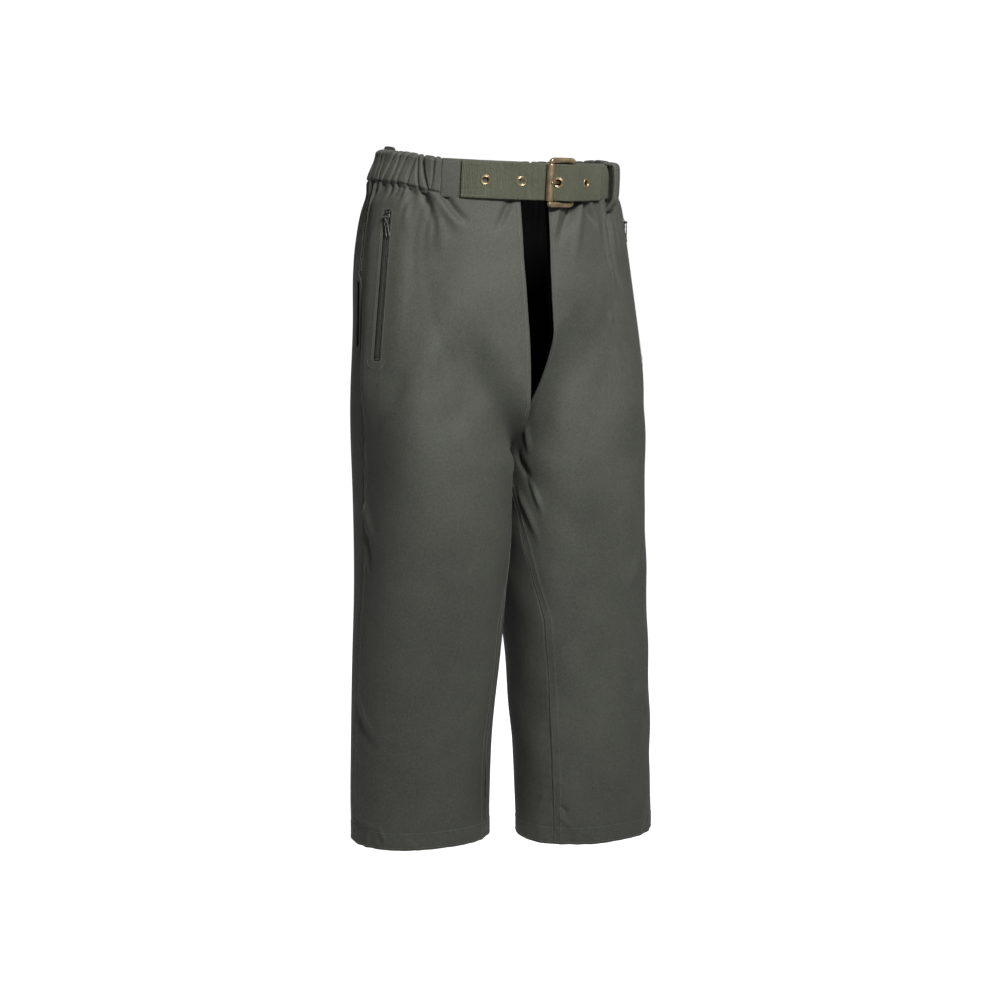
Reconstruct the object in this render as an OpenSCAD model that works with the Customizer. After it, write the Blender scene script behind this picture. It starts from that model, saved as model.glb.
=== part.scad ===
// Belted over-trouser leg chaps: two full leg tubes hung from one waistband, open at the front and seat.
// The wearer faces -Y, the wearer's right is -X and +Z is up. Millimetres.
// The origin is the centre of the waistband, halfway up its height.

/* [Waistband] */
// Half of the width across the waistband's outer face
waist_a = 145; // [140:1:150]
// Half of the depth through the waistband's outer face
waist_b = 105; // [102:1:108]
// How far the middle of the waistband lies behind the origin
waist_y = 4; // [2:1:6]
// Height of the waistband
band_h = 42; // [41:1:44]
// How far the waistband dips towards the front, in degrees
waist_tilt = 7; // [4:0.5:9]
// Thickness of the flat front waistband
band_t = 3; // [2:0.5:4]
// Thickness of the gathered casing with its elastic inside
casing_t = 6; // [5.5:0.5:8]
// Angle at which the gathered casing starts, from the wearer's left, in degrees
casing_start = 47; // [44:1:48]

/* [Legs] */
// Height from the origin down to the hem, without the stagger below
leg_l = 756.5; // [740:0.5:775]
// How much lower and higher than that the left and the right hem hang
hem_stagger = 1.5; // [0:0.5:4]
// How far the left shin stands forward and the right one back
stance = 24; // [0:1:26]
// Depth of the turned hem
hem_h = 20; // [15:1:25]
// Height below the origin at which the edges of the opening meet in the inseam
crotch_z = 320; // [300:5:330]
// Distance of the right front edge from the middle, at the top and at the crotch
gap_right = [16, 11]; // [6:1:30]
// Distance of the left front edge from the middle, at the top and at the crotch
gap_left = [20, 18]; // [6:1:30]
// Distance of the seat edges from the middle, at the top and at the crotch
gap_seat = [45, 60]; // [30:1:80]

/* [Layers] */
// Thickness of the outer fabric
shell_t = 1.2; // [1:0.1:1.4]
// Thickness of the lining and of the facings
lining_t = 0.8; // [0.6:0.1:0.9]
// Thickness of the protective pad
pad_t = 5; // [4:0.5:5.5]

/* [Belt] */
// Width of the belt webbing
belt_h = 40; // [38:0.5:40]
// Thickness of the belt webbing
belt_t = 2; // [1.8:0.1:2]
// Radius of the hole through an eyelet
eyelet_r = 3.2; // [3.1:0.05:3.3]
// Radius of an eyelet's flange
eyelet_flange_r = 5.6; // [5:0.1:5.7]
// Distance of each buckle bar from the middle of the buckle
bar_u = 16; // [16:0.1:16.2]
// Radius of the roller
roller_r = 4; // [3.8:0.1:4]

/* [Pockets] */
// Length of the zip between its stops
zip_l = 158; // [140:1:160]
// Length of the zip's slider
slider_l = 11; // [10:0.5:12]
// Length of the hand slit in the side seam
slit_l = 76; // [60:1:78]
// Width of the hand slit
slit_w = 7; // [6:0.5:8]

/* [Hidden] */
$fn = 48;
left = 1;
right = -1;
clear = 0.3;

olive = "#4b4f46";
lining_black = "#141514";
webbing_green = "#616650";
antique_brass = "#a08a6a";
zip_black = "#20221f";
zip_steel = "#8f9190";
pad_white = "#c9c7bd";

// The legs' shape. Each hip row is a height, the half width, the half depth and the middle's Y.
hips = [
    [0, 146, 105, 4], [-22, 148, 104, 7], [-50, 156, 108.5, 10], [-90, 162, 113, 10], [-134, 165, 116, 7],
    [-180, 166, 116, 3], [-250, 166, 112, -2], [-320, 166, 106, -6]
];
// Each leg row is a height, the inner X, the outer X, the front Y, the back Y and the outline's squareness.
legs = [
    [-200, 3, 166, -104, 92, 2.9], [-320, 3, 166, -103, 88, 2.9], [-430, 3, 168, -98, 70, 2.7],
    [-548, 7, 172, -90, 58, 2.4], [-650, 11, 175, -84, 52, 2.2], [-770, 13, 174, -82, 48, 2.1]
];
inseam_turn = 42;         // how far forward of the innermost line the inseam ends, in degrees
inseam_run = 180;         // the height over which it turns there
stance_run = 430;         // the height over which the stance grows
hip_blend_z = -45;        // where the side starts to change from the hip's outline to the leg's
seat_blend_z = -120;      // the same, at the seat edge
front_blend_z = [-175, -235];   // the same, at the left and the right front edge
front_blend_power = [1.4, 3];

function pick(side, pair) = side == left ? pair[0] : pair[1];
function row_value(rows, z, i) = lookup(z, [for (row = rows) [row[0], row[i]]]);
function signed_power(v, p) = sign(v) * pow(abs(v), p);
function smooth(s) = s * s * (3 - 2 * s);
function unit(s) = min(max(s, 0), 1);

// A point of one leg's surface, drawn on the +X side. t runs from the front edge or inseam (0) over the
// side seam (0.5) to the seat edge or inseam (1). inset is the depth below the outer face.
function leg_point(side, t, z, inset) =
    let (
        half_w = row_value(hips, z, 1) - inset,
        half_d = row_value(hips, z, 2) - inset,
        front_gap = lookup(-z, [[0, side == left ? gap_left[0] : gap_right[0]],
                                [240, side == left ? gap_left[1] : gap_right[1]]]),
        seat_gap = lookup(-z, [[0, gap_seat[0]], [300, gap_seat[1]]]),
        hip_angle = t <= 0.5 ? acos(front_gap / half_w) * (1 - 2 * t)
                             : -acos(seat_gap / half_w) * (2 * t - 1),
        hip_x = half_w * cos(hip_angle),
        hip_y = row_value(hips, z, 3) - half_d * sin(hip_angle),
        step_y = -side * stance * smooth(unit((-z - crotch_z) / stance_run)),
        inner_x = row_value(legs, z, 1) + inset,
        outer_x = row_value(legs, z, 2) - inset,
        front_y = row_value(legs, z, 3) + inset + step_y,
        back_y = row_value(legs, z, 4) - inset + step_y,
        power = 2 / row_value(legs, z, 5),
        seam = inseam_turn * unit((-z - crotch_z) / inseam_run),
        leg_angle = t <= 0.5 ? (180 - seam) * (1 - 2 * t) : -(180 + seam) * (2 * t - 1),
        leg_x = (outer_x + inner_x) / 2 + (outer_x - inner_x) / 2 * signed_power(cos(leg_angle), power),
        leg_y = (back_y + front_y) / 2 - (back_y - front_y) / 2 * signed_power(sin(leg_angle), power),
        edge = pow(1 - 2 * t, 2),
        edge_z = t < 0.5 ? pick(side, front_blend_z) : seat_blend_z,
        blend_z = hip_blend_z * (1 - edge) + edge_z * edge,
        s = unit((blend_z - z) / (blend_z + crotch_z)),
        edge_power = t < 0.5 ? pick(side, front_blend_power) : 2,
        w = smooth(s) * (1 - edge) + pow(s, edge_power) * edge
    )
    [hip_x * (1 - w) + leg_x * w, hip_y * (1 - w) + leg_y * w, z];

// The panels share one grid, so that all layers run parallel. Column 0 is a front or seat edge or the
// inseam, the last column is the side seam, row 0 is the waist seam and the last row is the hem.
cols = 11;
rows = 19;
edge_t = 0.04;
seam_gap_t = 0.0015;
function col_t(i) =
    i == 0 ? seam_gap_t : min(edge_t + (i - 1) * (0.5 - edge_t) / (cols - 1), 0.5 - seam_gap_t);
function top_z(side, t) =
    let (y = leg_point(side, t, -band_h / 2, 0)[1])
    y * tan(waist_tilt) - (band_h / 2 + 2 * clear) / cos(waist_tilt);
function hem_z(side) = -leg_l - side * hem_stagger;
function row_z(side, t, j) =
    let (top = top_z(side, t), bottom = hem_z(side))
    j == rows ? bottom : top + (bottom + hem_h - top) * j / (rows - 1);

// A layer of one leg: the given columns (as t values) and rows, between two depths below the outer face.
module layer(side, ts, j0, j1, inset, thickness) {
    n = len(ts);
    m = j1 - j0 + 1;
    points = [for (d = [0, thickness]) for (j = [j0 : j1]) for (t = ts)
        leg_point(side, t, row_z(side, t, j), inset + d)];
    outer = function (i, j) j * n + i;
    inner = function (i, j) n * m + j * n + i;
    faces = concat(
        [for (j = [0 : m - 2]) for (i = [0 : n - 2]) each [
            [outer(i, j), outer(i + 1, j), outer(i + 1, j + 1)],
            [outer(i, j), outer(i + 1, j + 1), outer(i, j + 1)],
            [inner(i, j), inner(i + 1, j + 1), inner(i + 1, j)],
            [inner(i, j), inner(i, j + 1), inner(i + 1, j + 1)]]],
        [for (i = [0 : n - 2]) each [
            [outer(i, 0), inner(i, 0), inner(i + 1, 0)],
            [outer(i, 0), inner(i + 1, 0), outer(i + 1, 0)],
            [outer(i, m - 1), inner(i + 1, m - 1), inner(i, m - 1)],
            [outer(i, m - 1), outer(i + 1, m - 1), inner(i + 1, m - 1)]]],
        [for (j = [0 : m - 2]) each [
            [outer(0, j), outer(0, j + 1), inner(0, j + 1)],
            [outer(0, j), inner(0, j + 1), inner(0, j)],
            [outer(n - 1, j), inner(n - 1, j), inner(n - 1, j + 1)],
            [outer(n - 1, j), inner(n - 1, j + 1), outer(n - 1, j + 1)]]]
    );
    on_side(side) polyhedron(points, faces, convexity = 6);
}
module on_side(side) {
    if (side == left) children();
    else mirror([1, 0, 0]) children();
}
function front_cols(i0, i1) = [for (i = [i0 : i1]) col_t(i)];
function back_cols(i0, i1) = [for (i = [i1 : -1 : i0]) 1 - col_t(i)];

facing_inset = shell_t + 0.4;
back_lining_inset = facing_inset + lining_t + 0.4;
pad_inset = facing_inset + lining_t + 0.2;
pocket_inset = 5.4;
pocket_t = 2;
front_lining_inset = pad_inset + pad_t + 1.4;
lining_last_row = rows - 1;
pad_rows = [6, 17];
pad_cols = [1, 9];
pocket_rows = [0, 5];
pocket_cols = [6, 10];
facing_last_row = 8;

module front_panel(side)
    color(olive) difference() {
        layer(side, front_cols(0, cols), 0, rows, 0, shell_t);
        zip_window(side);
        slit_window(side, 0);
    }
module back_panel(side)
    color(olive) difference() {
        layer(side, back_cols(0, cols), 0, rows, 0, shell_t);
        slit_window(side, 0);
    }
module protective_pad(side)
    color(pad_white) layer(side, front_cols(pad_cols[0], pad_cols[1]), pad_rows[0], pad_rows[1],
                           pad_inset, pad_t);
module front_lining(side)
    color(lining_black) difference() {
        layer(side, front_cols(0, cols), 0, lining_last_row, front_lining_inset, lining_t);
        slit_window(side, 2);
    }
module back_lining(side)
    color(lining_black) difference() {
        layer(side, back_cols(0, cols), 0, lining_last_row, back_lining_inset, lining_t);
        slit_window(side, 2);
    }
module opening_facing(side)
    color(olive) layer(side, front_cols(0, 1), 0, facing_last_row, facing_inset, lining_t);
module seat_facing(side)
    color(olive) layer(side, back_cols(0, 1), 0, facing_last_row, facing_inset, lining_t);
module hem_facing(side)
    color(olive) layer(side, concat(front_cols(0, cols - 1), back_cols(0, cols - 1)), rows - 1, rows,
                       facing_inset, lining_t);
module pocket_bag(side)
    color(zip_black) layer(side, front_cols(pocket_cols[0], pocket_cols[1]), pocket_rows[0], pocket_rows[1],
                           pocket_inset, pocket_t);

// The hand slit: a straight slot on the side seam with a welt around it.
slit_at = [165.4, 5.6, -156];
slit_lean = 1.2;
welt_margin = 5;
welt_t = 1.6;
cut_depth = 40;
module slit_frame(side)
    on_side(side) translate(slit_at) rotate([0, -slit_lean, 0]) children();
module slit_window(side, shrink)
    slit_frame(side) cube([cut_depth, slit_w + 2 * welt_margin + 2 * clear - 2 * shrink,
                           slit_l + 2 * welt_margin + 2 * clear - 2 * shrink], center = true);
module slit_welt(side)
    color(olive) slit_frame(side) difference() {
        cube([welt_t, slit_w + 2 * welt_margin, slit_l + 2 * welt_margin], center = true);
        cube([2 * welt_t, slit_w, slit_l], center = true);
    }

// The pocket zip, in a frame whose Z runs up the zip, whose -Y points out of the cloth and whose origin
// is the top of the teeth.
zip_at = [144.7, -32.4, -47];
zip_yaw = 57.2;
zip_lean = 8;
zip_gap = 1.2;            // between the two tapes, and between the two rows of teeth
tape_w = 6.4;
tape_t = 0.8;
coil_w = 2.3;
coil_t = 1.6;
stop_l = 2.5;
tape_spare = 7;           // how far the tapes run past the teeth, at both ends
window_margin = 1.5;
module zip_frame(side)
    on_side(side) translate(zip_at) rotate([0, 0, zip_yaw]) rotate([-zip_lean, 0, 0]) children();
module zip_window(side)
    zip_frame(side) translate([0, 0, -zip_l / 2])
        cube([2 * (tape_w + window_margin), cut_depth / 2, zip_l + 2 * (tape_spare + window_margin)],
             center = true);
module both_rows() {
    children();
    mirror([1, 0, 0]) children();
}
module zip_tapes(side)
    color(zip_black) zip_frame(side) both_rows()
        translate([zip_gap / 2, 0, -zip_l - tape_spare]) cube([tape_w, tape_t, zip_l + 2 * tape_spare]);
module zip_coils(side)
    color(zip_black) zip_frame(side) both_rows()
        translate([zip_gap / 2, -coil_t, -zip_l]) cube([coil_w, coil_t, zip_l]);
module zip_stops(side)
    color(zip_steel) zip_frame(side) {
        both_rows() translate([zip_gap / 2, -coil_t, clear]) cube([coil_w, coil_t, stop_l]);
        translate([-coil_w, -coil_t, -zip_l - clear - stop_l]) cube([2 * coil_w, coil_t, stop_l]);
    }

run_clear = 0.06;         // between a pin and the eye that turns on it
plate_t = 1.2;
plate_gap = 0.3;
plate_w = 8.6;
wall_t = 0.9;
post_l = 3;
post_top = -0.5;
post_depth = 2 * plate_t + 2 * plate_gap + coil_t + tape_t;
lug_w = 1;
lug_r = 1.3;
lug_gap = 4.2;
pull_pin_r = 0.6;
pull_eye_r = 1.5;
pull_z = -4.5;
top_plate_y = -coil_t - plate_gap - plate_t;
pull_y = top_plate_y - pull_eye_r - plate_gap;
module zip_slider(side)
    color(zip_steel) zip_frame(side) {
        translate([-plate_w / 2, top_plate_y, -slider_l]) cube([plate_w, plate_t, slider_l]);
        translate([-plate_w / 2, tape_t + plate_gap, -slider_l]) cube([plate_w, plate_t, slider_l]);
        both_rows() translate([plate_w / 2 - wall_t, top_plate_y, -slider_l])
            cube([wall_t, plate_t + plate_gap + coil_t - clear, slider_l]);
        translate([-zip_gap / 4, top_plate_y, post_top - post_l]) cube([zip_gap / 2, post_depth, post_l]);
        both_rows() translate([lug_gap / 2, pull_y, pull_z]) rotate([0, 90, 0])
            cylinder(h = lug_w, r = lug_r);
        both_rows() translate([lug_gap / 2, pull_y, pull_z - lug_r])
            cube([lug_w, top_plate_y - pull_y + 0.1, 2 * lug_r]);
        translate([-lug_gap / 2 - lug_w / 2, pull_y, pull_z]) rotate([0, 90, 0])
            cylinder(h = lug_gap + lug_w, r = pull_pin_r);
    }

pull_w = 5;
pull_l = 23;
pull_t = 1.2;
pull_turn = 11;           // how far the loose pull hangs askew, in degrees
pull_drop = 2;            // from the pin down to where the tab turns askew
module zip_pull(side)
    color(zip_steel) zip_frame(side) translate([0, pull_y, pull_z]) difference() {
        union() {
            translate([-lug_gap / 2 + clear, 0, 0]) rotate([0, 90, 0])
                cylinder(h = lug_gap - 2 * clear, r = pull_eye_r);
            translate([0, 0, -pull_drop]) rotate([0, pull_turn, 0]) pull_tab();
        }
        rotate([0, 90, 0]) cylinder(h = 2 * lug_gap, r = pull_pin_r + run_clear, center = true);
    }
// The tab: a narrow neck, and below it a long ring.
neck_l = 5;
neck_w = 2.8;
ring_hole_w = 2.4;
ring_end_z = -pull_l + pull_w / 2;
module pull_tab()
    rotate([90, 0, 0]) translate([0, 0, -pull_t / 2]) linear_extrude(pull_t) difference() {
        union() {
            translate([-neck_w / 2, -neck_l]) square([neck_w, neck_l + 0.8]);
            translate([-pull_w / 2, ring_end_z]) square([pull_w, -neck_l - ring_end_z]);
            translate([0, ring_end_z]) circle(r = pull_w / 2);
        }
        translate([-ring_hole_w / 2, ring_end_z]) square([ring_hole_w, -neck_l - 2 - ring_end_z]);
        translate([0, ring_end_z]) circle(r = ring_hole_w / 2);
    }

// The waist. Plan positions are an angle round the waistband, in degrees from the wearer's left towards
// the back, and a distance out from its outer face. The front is at -90.
module waist_frame() rotate([waist_tilt, 0, 0]) children();
function waist_normal(angle) =
    let (n = [waist_b * cos(angle), waist_a * sin(angle)]) n / norm(n);
function waist_point(angle, out) =
    [waist_a * cos(angle), waist_y + waist_b * sin(angle)] + out * waist_normal(angle);
module waist_arc(a0, a1, out0, out1, h, step = 5) {
    n = ceil(abs(a1 - a0) / step);
    angles = [for (i = [0 : n]) a0 + (a1 - a0) * i / n];
    translate([0, 0, -h / 2]) linear_extrude(h) polygon(concat(
        [for (a = angles) waist_point(a, out1)],
        [for (i = [n : -1 : 0]) waist_point(angles[i], out0)]));
}
// The angle on the waistband at a distance from the middle plane, on the front.
function front_angle(x) = -acos(x / waist_a);
seam_deg = 0.2;
module waistband_front(side)
    color(olive) waist_frame() {
        if (side == left) waist_arc(front_angle(gap_left[0]), -casing_start - seam_deg, -band_t, 0, band_h);
        else waist_arc(-180 + casing_start + seam_deg, front_angle(-gap_right[0]), -band_t, 0, band_h);
    }
casing_ply = 1.1;
elastic_clear = 0.4;
module elastic_casing()
    color(olive) waist_frame() difference() {
        waist_arc(-casing_start, 180 + casing_start, -casing_t, 0, band_h);
        waist_arc(-casing_start + 1, 179 + casing_start, casing_ply - casing_t, -casing_ply, band_h - 6);
    }
module elastic_band()
    color(lining_black) waist_frame()
        waist_arc(-casing_start + 1.5, 178.5 + casing_start, casing_ply + elastic_clear - casing_t,
                  -casing_ply - elastic_clear, band_h - 8);

// The buckle's plan frame: u runs round the waist to the wearer's left, n points outwards.
buckle_angle = -78;
buckle_n = waist_normal(buckle_angle);
buckle_u = [-buckle_n[1], buckle_n[0]];
function buckle_point(u, n) = waist_point(buckle_angle, 0) + u * buckle_u + n * buckle_n;
end_bar_n = 7.2;
hinge_bar_n = 4.5;
end_bar_r = 1.8;
hinge_bar_r = 1.9;
arm_r = 3;
arm_w = 24;

function turn_left(v) = [-v[1], v[0]];
function unit_vector(v) = v / norm(v);
// A strip of even thickness along a plan path.
module strip(path, thickness, h) {
    n = len(path);
    side_step = [for (i = [0 : n - 1])
        turn_left(unit_vector(path[min(i + 1, n - 1)] - path[max(i - 1, 0)])) * thickness / 2];
    translate([0, 0, -h / 2]) linear_extrude(h) polygon(concat(
        [for (i = [0 : n - 1]) path[i] + side_step[i]],
        [for (i = [n - 1 : -1 : 0]) path[i] - side_step[i]]));
}

// The belt's middle line. It starts on the right front, passes behind the roller, climbs through the
// prong and lies over the short strap. The stretches at the eyelets are straight.
belt_start = [for (p = [[-123.5, 1.4], [-119, 1.8], [-115.2, 2], [-109.8, 2], [-104.5, 2.2], [-99.4, 2.4],
                        [-94, 2.4]]) waist_point(p[0], p[1])];
belt_middle = [for (p = [[-22, 1.7], [-16, 1.7], [-13, 2.5], [-10.7, 3.9], [-0.3, 11], [5, 12], [12, 11.6],
                         [20, 9.8], [27.5, 6.2], [40.5, 1.2]]) buckle_point(p[0], p[1])];
belt_end = [for (p = [[-57, 4], [-53, 3.6], [-48.5, 3.5]]) waist_point(p[0], p[1])];
belt_path = concat(belt_start, belt_middle, belt_end);
// The first point of each stretch that carries an eyelet
eyelet_stretches = [2, 5, 10, 15];
module at_eyelets()
    for (i = eyelet_stretches) {
        along = belt_path[i + 1] - belt_path[i];
        middle = (belt_path[i] + belt_path[i + 1]) / 2;
        waist_frame() translate([middle[0], middle[1], 0])
            rotate([0, 0, atan2(along[1], along[0])]) rotate([90, 0, 0]) children();
    }
barrel_r = 4.2;
flange_t = 0.8;
washer_t = 0.65;
module belt_webbing()
    color(webbing_green) difference() {
        waist_frame() strip(belt_path, belt_t, belt_h);
        at_eyelets() cylinder(h = 8, r = barrel_r + 0.02, center = true);
    }
module belt_eyelets()
    color(antique_brass) at_eyelets() rotate_extrude() polygon([
        [eyelet_r, -belt_t / 2 - washer_t], [barrel_r, -belt_t / 2 - washer_t], [barrel_r, belt_t / 2],
        [eyelet_flange_r, belt_t / 2], [eyelet_flange_r - 0.4, belt_t / 2 + 0.6],
        [barrel_r, belt_t / 2 + flange_t], [eyelet_r, belt_t / 2 + flange_t]]);
module eyelet_washers()
    color(antique_brass) at_eyelets() translate([0, 0, -belt_t / 2 - washer_t]) difference() {
        cylinder(h = washer_t, r = eyelet_flange_r);
        translate([0, 0, -1]) cylinder(h = 3, r = barrel_r + 0.02);
    }

// The short strap: sewn to the left front, folded round the hinge bar and back over itself.
strap_t = 1.6;
fold_r = hinge_bar_r + 0.3 + strap_t / 2;
strap_path = concat(
    [for (a = [-26 : -5 : -66]) waist_point(a, clear + strap_t / 2)],
    [for (p = [[22, 0.4], [18, 1.4]]) buckle_point(p[0], p[1])],
    [for (a = [-90 : -20 : -270]) buckle_point(bar_u + fold_r * cos(a), hinge_bar_n + fold_r * sin(a))],
    [for (p = [[19, 6.6], [24, 3.2], [29, 1], [34, 0.2]]) buckle_point(p[0], p[1])]
);
strap_h = 38;
prong_slot_w = 6;
module buckle_strap()
    color(webbing_green) waist_frame() difference() {
        strip(strap_path, strap_t, strap_h);
        buckle_frame_at(bar_u - 1) cube([12, 16, prong_slot_w], center = true);
    }
// Moves what it holds to the buckle, with X along u, -Y outwards and Z up the bars.
module buckle_frame_at(u, n = hinge_bar_n) {
    p = buckle_point(u, n);
    translate([p[0], p[1], 0]) rotate([0, 0, atan2(buckle_u[1], buckle_u[0])]) children();
}
// One arm of the frame, from the end bar to the hinge bar, round at both ends.
module buckle_arm() {
    p = buckle_point(-bar_u, end_bar_n);
    d = buckle_point(bar_u, hinge_bar_n) - p;
    translate([p[0], p[1], -arm_r]) rotate([0, 0, atan2(d[1], d[0])]) linear_extrude(2 * arm_r) {
        circle(r = arm_r);
        translate([0, -arm_r]) square([norm(d), 2 * arm_r]);
        translate([norm(d), 0]) circle(r = arm_r);
    }
}
module buckle_frame()
    color(antique_brass) waist_frame() {
        buckle_frame_at(-bar_u, end_bar_n) cylinder(h = 2 * arm_w, r = end_bar_r, center = true);
        buckle_frame_at(bar_u, hinge_bar_n) cylinder(h = 2 * arm_w, r = hinge_bar_r, center = true);
        for (w = [-arm_w, arm_w]) translate([0, 0, w]) buckle_arm();
    }
roller_l = 2 * (arm_w - arm_r - clear);
module buckle_roller()
    color(antique_brass) waist_frame() buckle_frame_at(-bar_u, end_bar_n) difference() {
        cylinder(h = roller_l, r = roller_r, center = true);
        cylinder(h = roller_l + 2, r = end_bar_r + run_clear, center = true);
    }
prong_w = 3;
prong_t = 1.8;
prong_eye_r = 3.4;
prong_eye_w = 5;
prong_path = [for (p = [[-18, 12.5], [-13.6, 12.4], [-1.8, 4.1], [4, 3.6], [13.6, 4.2]])
    buckle_point(p[0], p[1])];
module buckle_prong()
    color(antique_brass) waist_frame() difference() {
        union() {
            strip(prong_path, prong_t, prong_w);
            buckle_frame_at(bar_u) cylinder(h = prong_eye_w, r = prong_eye_r, center = true);
        }
        buckle_frame_at(bar_u) cylinder(h = prong_eye_w + 2, r = hinge_bar_r + run_clear, center = true);
    }

// Loops: a bridge of tape with its two ends on the band.
loop_angle = -40;
loop_out = 11.5;
loop_t = 1.4;
loop_w = 9;
module belt_loop() {
    p = waist_point(loop_angle, 0);
    n = waist_normal(loop_angle);
    color(olive) waist_frame() translate([p[0], p[1], 0]) rotate([0, 0, atan2(n[1], n[0])]) difference() {
        translate([clear, -loop_w / 2, -band_h / 2]) cube([loop_out, loop_w, band_h]);
        translate([clear - 1, -loop_w, -band_h / 2 + loop_t])
            cube([loop_out - loop_t + 1, 2 * loop_w, band_h - 2 * loop_t]);
    }
}
hanger_angle = 142;
hanger_w = 30;
hanger_rise = 10.5;
hanger_drop = 16;
hanger_t = 1.4;
hanger_tape = 4.5;
hanger_gap = 1;           // between the tape and the casing's inner face
module hanger_loop() {
    p = waist_point(hanger_angle, -casing_t - clear);
    n = waist_normal(hanger_angle);
    color(lining_black) waist_frame() translate([p[0], p[1], 0]) rotate([0, 0, atan2(n[1], n[0])])
        translate([-hanger_t - hanger_gap, 0, 0]) rotate([90, 0, 90]) linear_extrude(hanger_t) difference() {
            translate([-hanger_w / 2, band_h / 2 - hanger_drop])
                square([hanger_w, hanger_drop + hanger_rise]);
            translate([-hanger_w / 2 + hanger_tape, band_h / 2 - hanger_drop - 1])
                square([hanger_w - 2 * hanger_tape, hanger_drop + hanger_rise - hanger_tape + 1]);
        }
}

front_panel(right);  // front_panel_right
front_panel(left);  // front_panel_left
back_panel(right);  // back_panel_right
back_panel(left);  // back_panel_left
protective_pad(right);  // protective_pad_right
protective_pad(left);  // protective_pad_left
front_lining(right);  // front_lining_right
front_lining(left);  // front_lining_left
back_lining(right);  // back_lining_right
back_lining(left);  // back_lining_left
opening_facing(right);  // opening_facing_right
opening_facing(left);  // opening_facing_left
seat_facing(right);  // seat_facing_right
seat_facing(left);  // seat_facing_left
hem_facing(right);  // hem_facing_right
hem_facing(left);  // hem_facing_left
pocket_bag(right);  // pocket_bag_right
pocket_bag(left);  // pocket_bag_left
zip_tapes(right);  // zip_tapes_right
zip_tapes(left);  // zip_tapes_left
zip_coils(right);  // zip_coils_right
zip_coils(left);  // zip_coils_left
zip_stops(right);  // zip_stops_right
zip_stops(left);  // zip_stops_left
zip_slider(right);  // zip_slider_right
zip_slider(left);  // zip_slider_left
zip_pull(right);  // zip_pull_right
zip_pull(left);  // zip_pull_left
slit_welt(right);  // slit_welt_right
slit_welt(left);  // slit_welt_left
waistband_front(right);  // waistband_front_right
waistband_front(left);  // waistband_front_left
elastic_casing();
elastic_band();
belt_webbing();
belt_eyelets();
eyelet_washers();
buckle_strap();
buckle_frame();
buckle_roller();
buckle_prong();
belt_loop();
hanger_loop();
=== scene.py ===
"""Belted over-trouser leg chaps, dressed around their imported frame.

Metres. The wearer faces -Y and the wearer's left is +X. Each leg is drawn on the +X side with the CAD
source's own formulas, and the right one is its mirror image. On a leg, t runs from the front edge or the
inseam (0) over the side seam (0.5) to the seat edge or the inseam (1), and z is the height.
"""
import math

import bmesh
import bpy
import numpy as np
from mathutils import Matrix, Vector


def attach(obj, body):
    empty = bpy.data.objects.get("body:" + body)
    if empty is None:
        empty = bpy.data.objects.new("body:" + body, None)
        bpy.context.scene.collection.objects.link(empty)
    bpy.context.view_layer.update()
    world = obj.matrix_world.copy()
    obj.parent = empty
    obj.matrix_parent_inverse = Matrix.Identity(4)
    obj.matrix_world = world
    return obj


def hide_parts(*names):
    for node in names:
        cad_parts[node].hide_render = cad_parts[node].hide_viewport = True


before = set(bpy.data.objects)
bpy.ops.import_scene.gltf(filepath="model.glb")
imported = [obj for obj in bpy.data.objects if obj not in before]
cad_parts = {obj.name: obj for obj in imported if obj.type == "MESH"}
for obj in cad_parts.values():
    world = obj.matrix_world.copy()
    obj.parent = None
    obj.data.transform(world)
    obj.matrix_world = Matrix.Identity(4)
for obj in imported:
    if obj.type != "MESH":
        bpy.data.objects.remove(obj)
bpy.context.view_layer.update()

MM = 0.001
LEFT, RIGHT = 1, -1
SIDES = {RIGHT: "right", LEFT: "left"}
BODY = "garment"
random_numbers = np.random.default_rng(11)


def add_object(name, data):
    """A new object in the scene."""
    made = bpy.data.objects.new(name, data)
    bpy.context.scene.collection.objects.link(made)
    return made


# ---------------------------------------------------------------- camera, stage and light

VIEW_AZIMUTH = math.radians(-25)
VIEW_DISTANCE = 2.2
EYE_Z = -0.15
AIM_Z = -0.37
VIEW_SHIFT = 0.0046
FLOOR_Z = -1.02
LIGHTS_AIM_Z = -0.05
FLOOR_GLOW = 0.86      # seen by the camera only, so that the floor is as white as the world behind it
ROOM_LIGHT = 0.16      # the world's strength as a light


def add_camera():
    """The photograph's view."""
    along = Vector((-math.sin(VIEW_AZIMUTH), math.cos(VIEW_AZIMUTH), 0))
    across = Vector((along.y, -along.x, 0)) * VIEW_SHIFT
    data = bpy.data.cameras.new("camera")
    data.lens = 68.9
    data.sensor_width = 36
    camera = add_object("camera", data)
    camera.location = across - along * VIEW_DISTANCE + Vector((0, 0, EYE_Z))
    aim = across + Vector((0, 0, AIM_Z))
    camera.rotation_euler = (aim - camera.location).to_track_quat("-Z", "Y").to_euler()
    bpy.context.scene.camera = camera


def add_light(name, azimuth, height, distance, size, power, spread):
    """A square area light at an azimuth round the object, aimed at the hips."""
    angle = math.radians(azimuth)
    data = bpy.data.lights.new(name, "AREA")
    data.size = size
    data.energy = power
    data.spread = math.radians(spread)
    light = add_object(name, data)
    light.location = (math.sin(angle) * distance, -math.cos(angle) * distance, height)
    aim = Vector((0, 0, LIGHTS_AIM_Z)) - light.location
    light.rotation_euler = aim.to_track_quat("-Z", "Y").to_euler()


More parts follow.
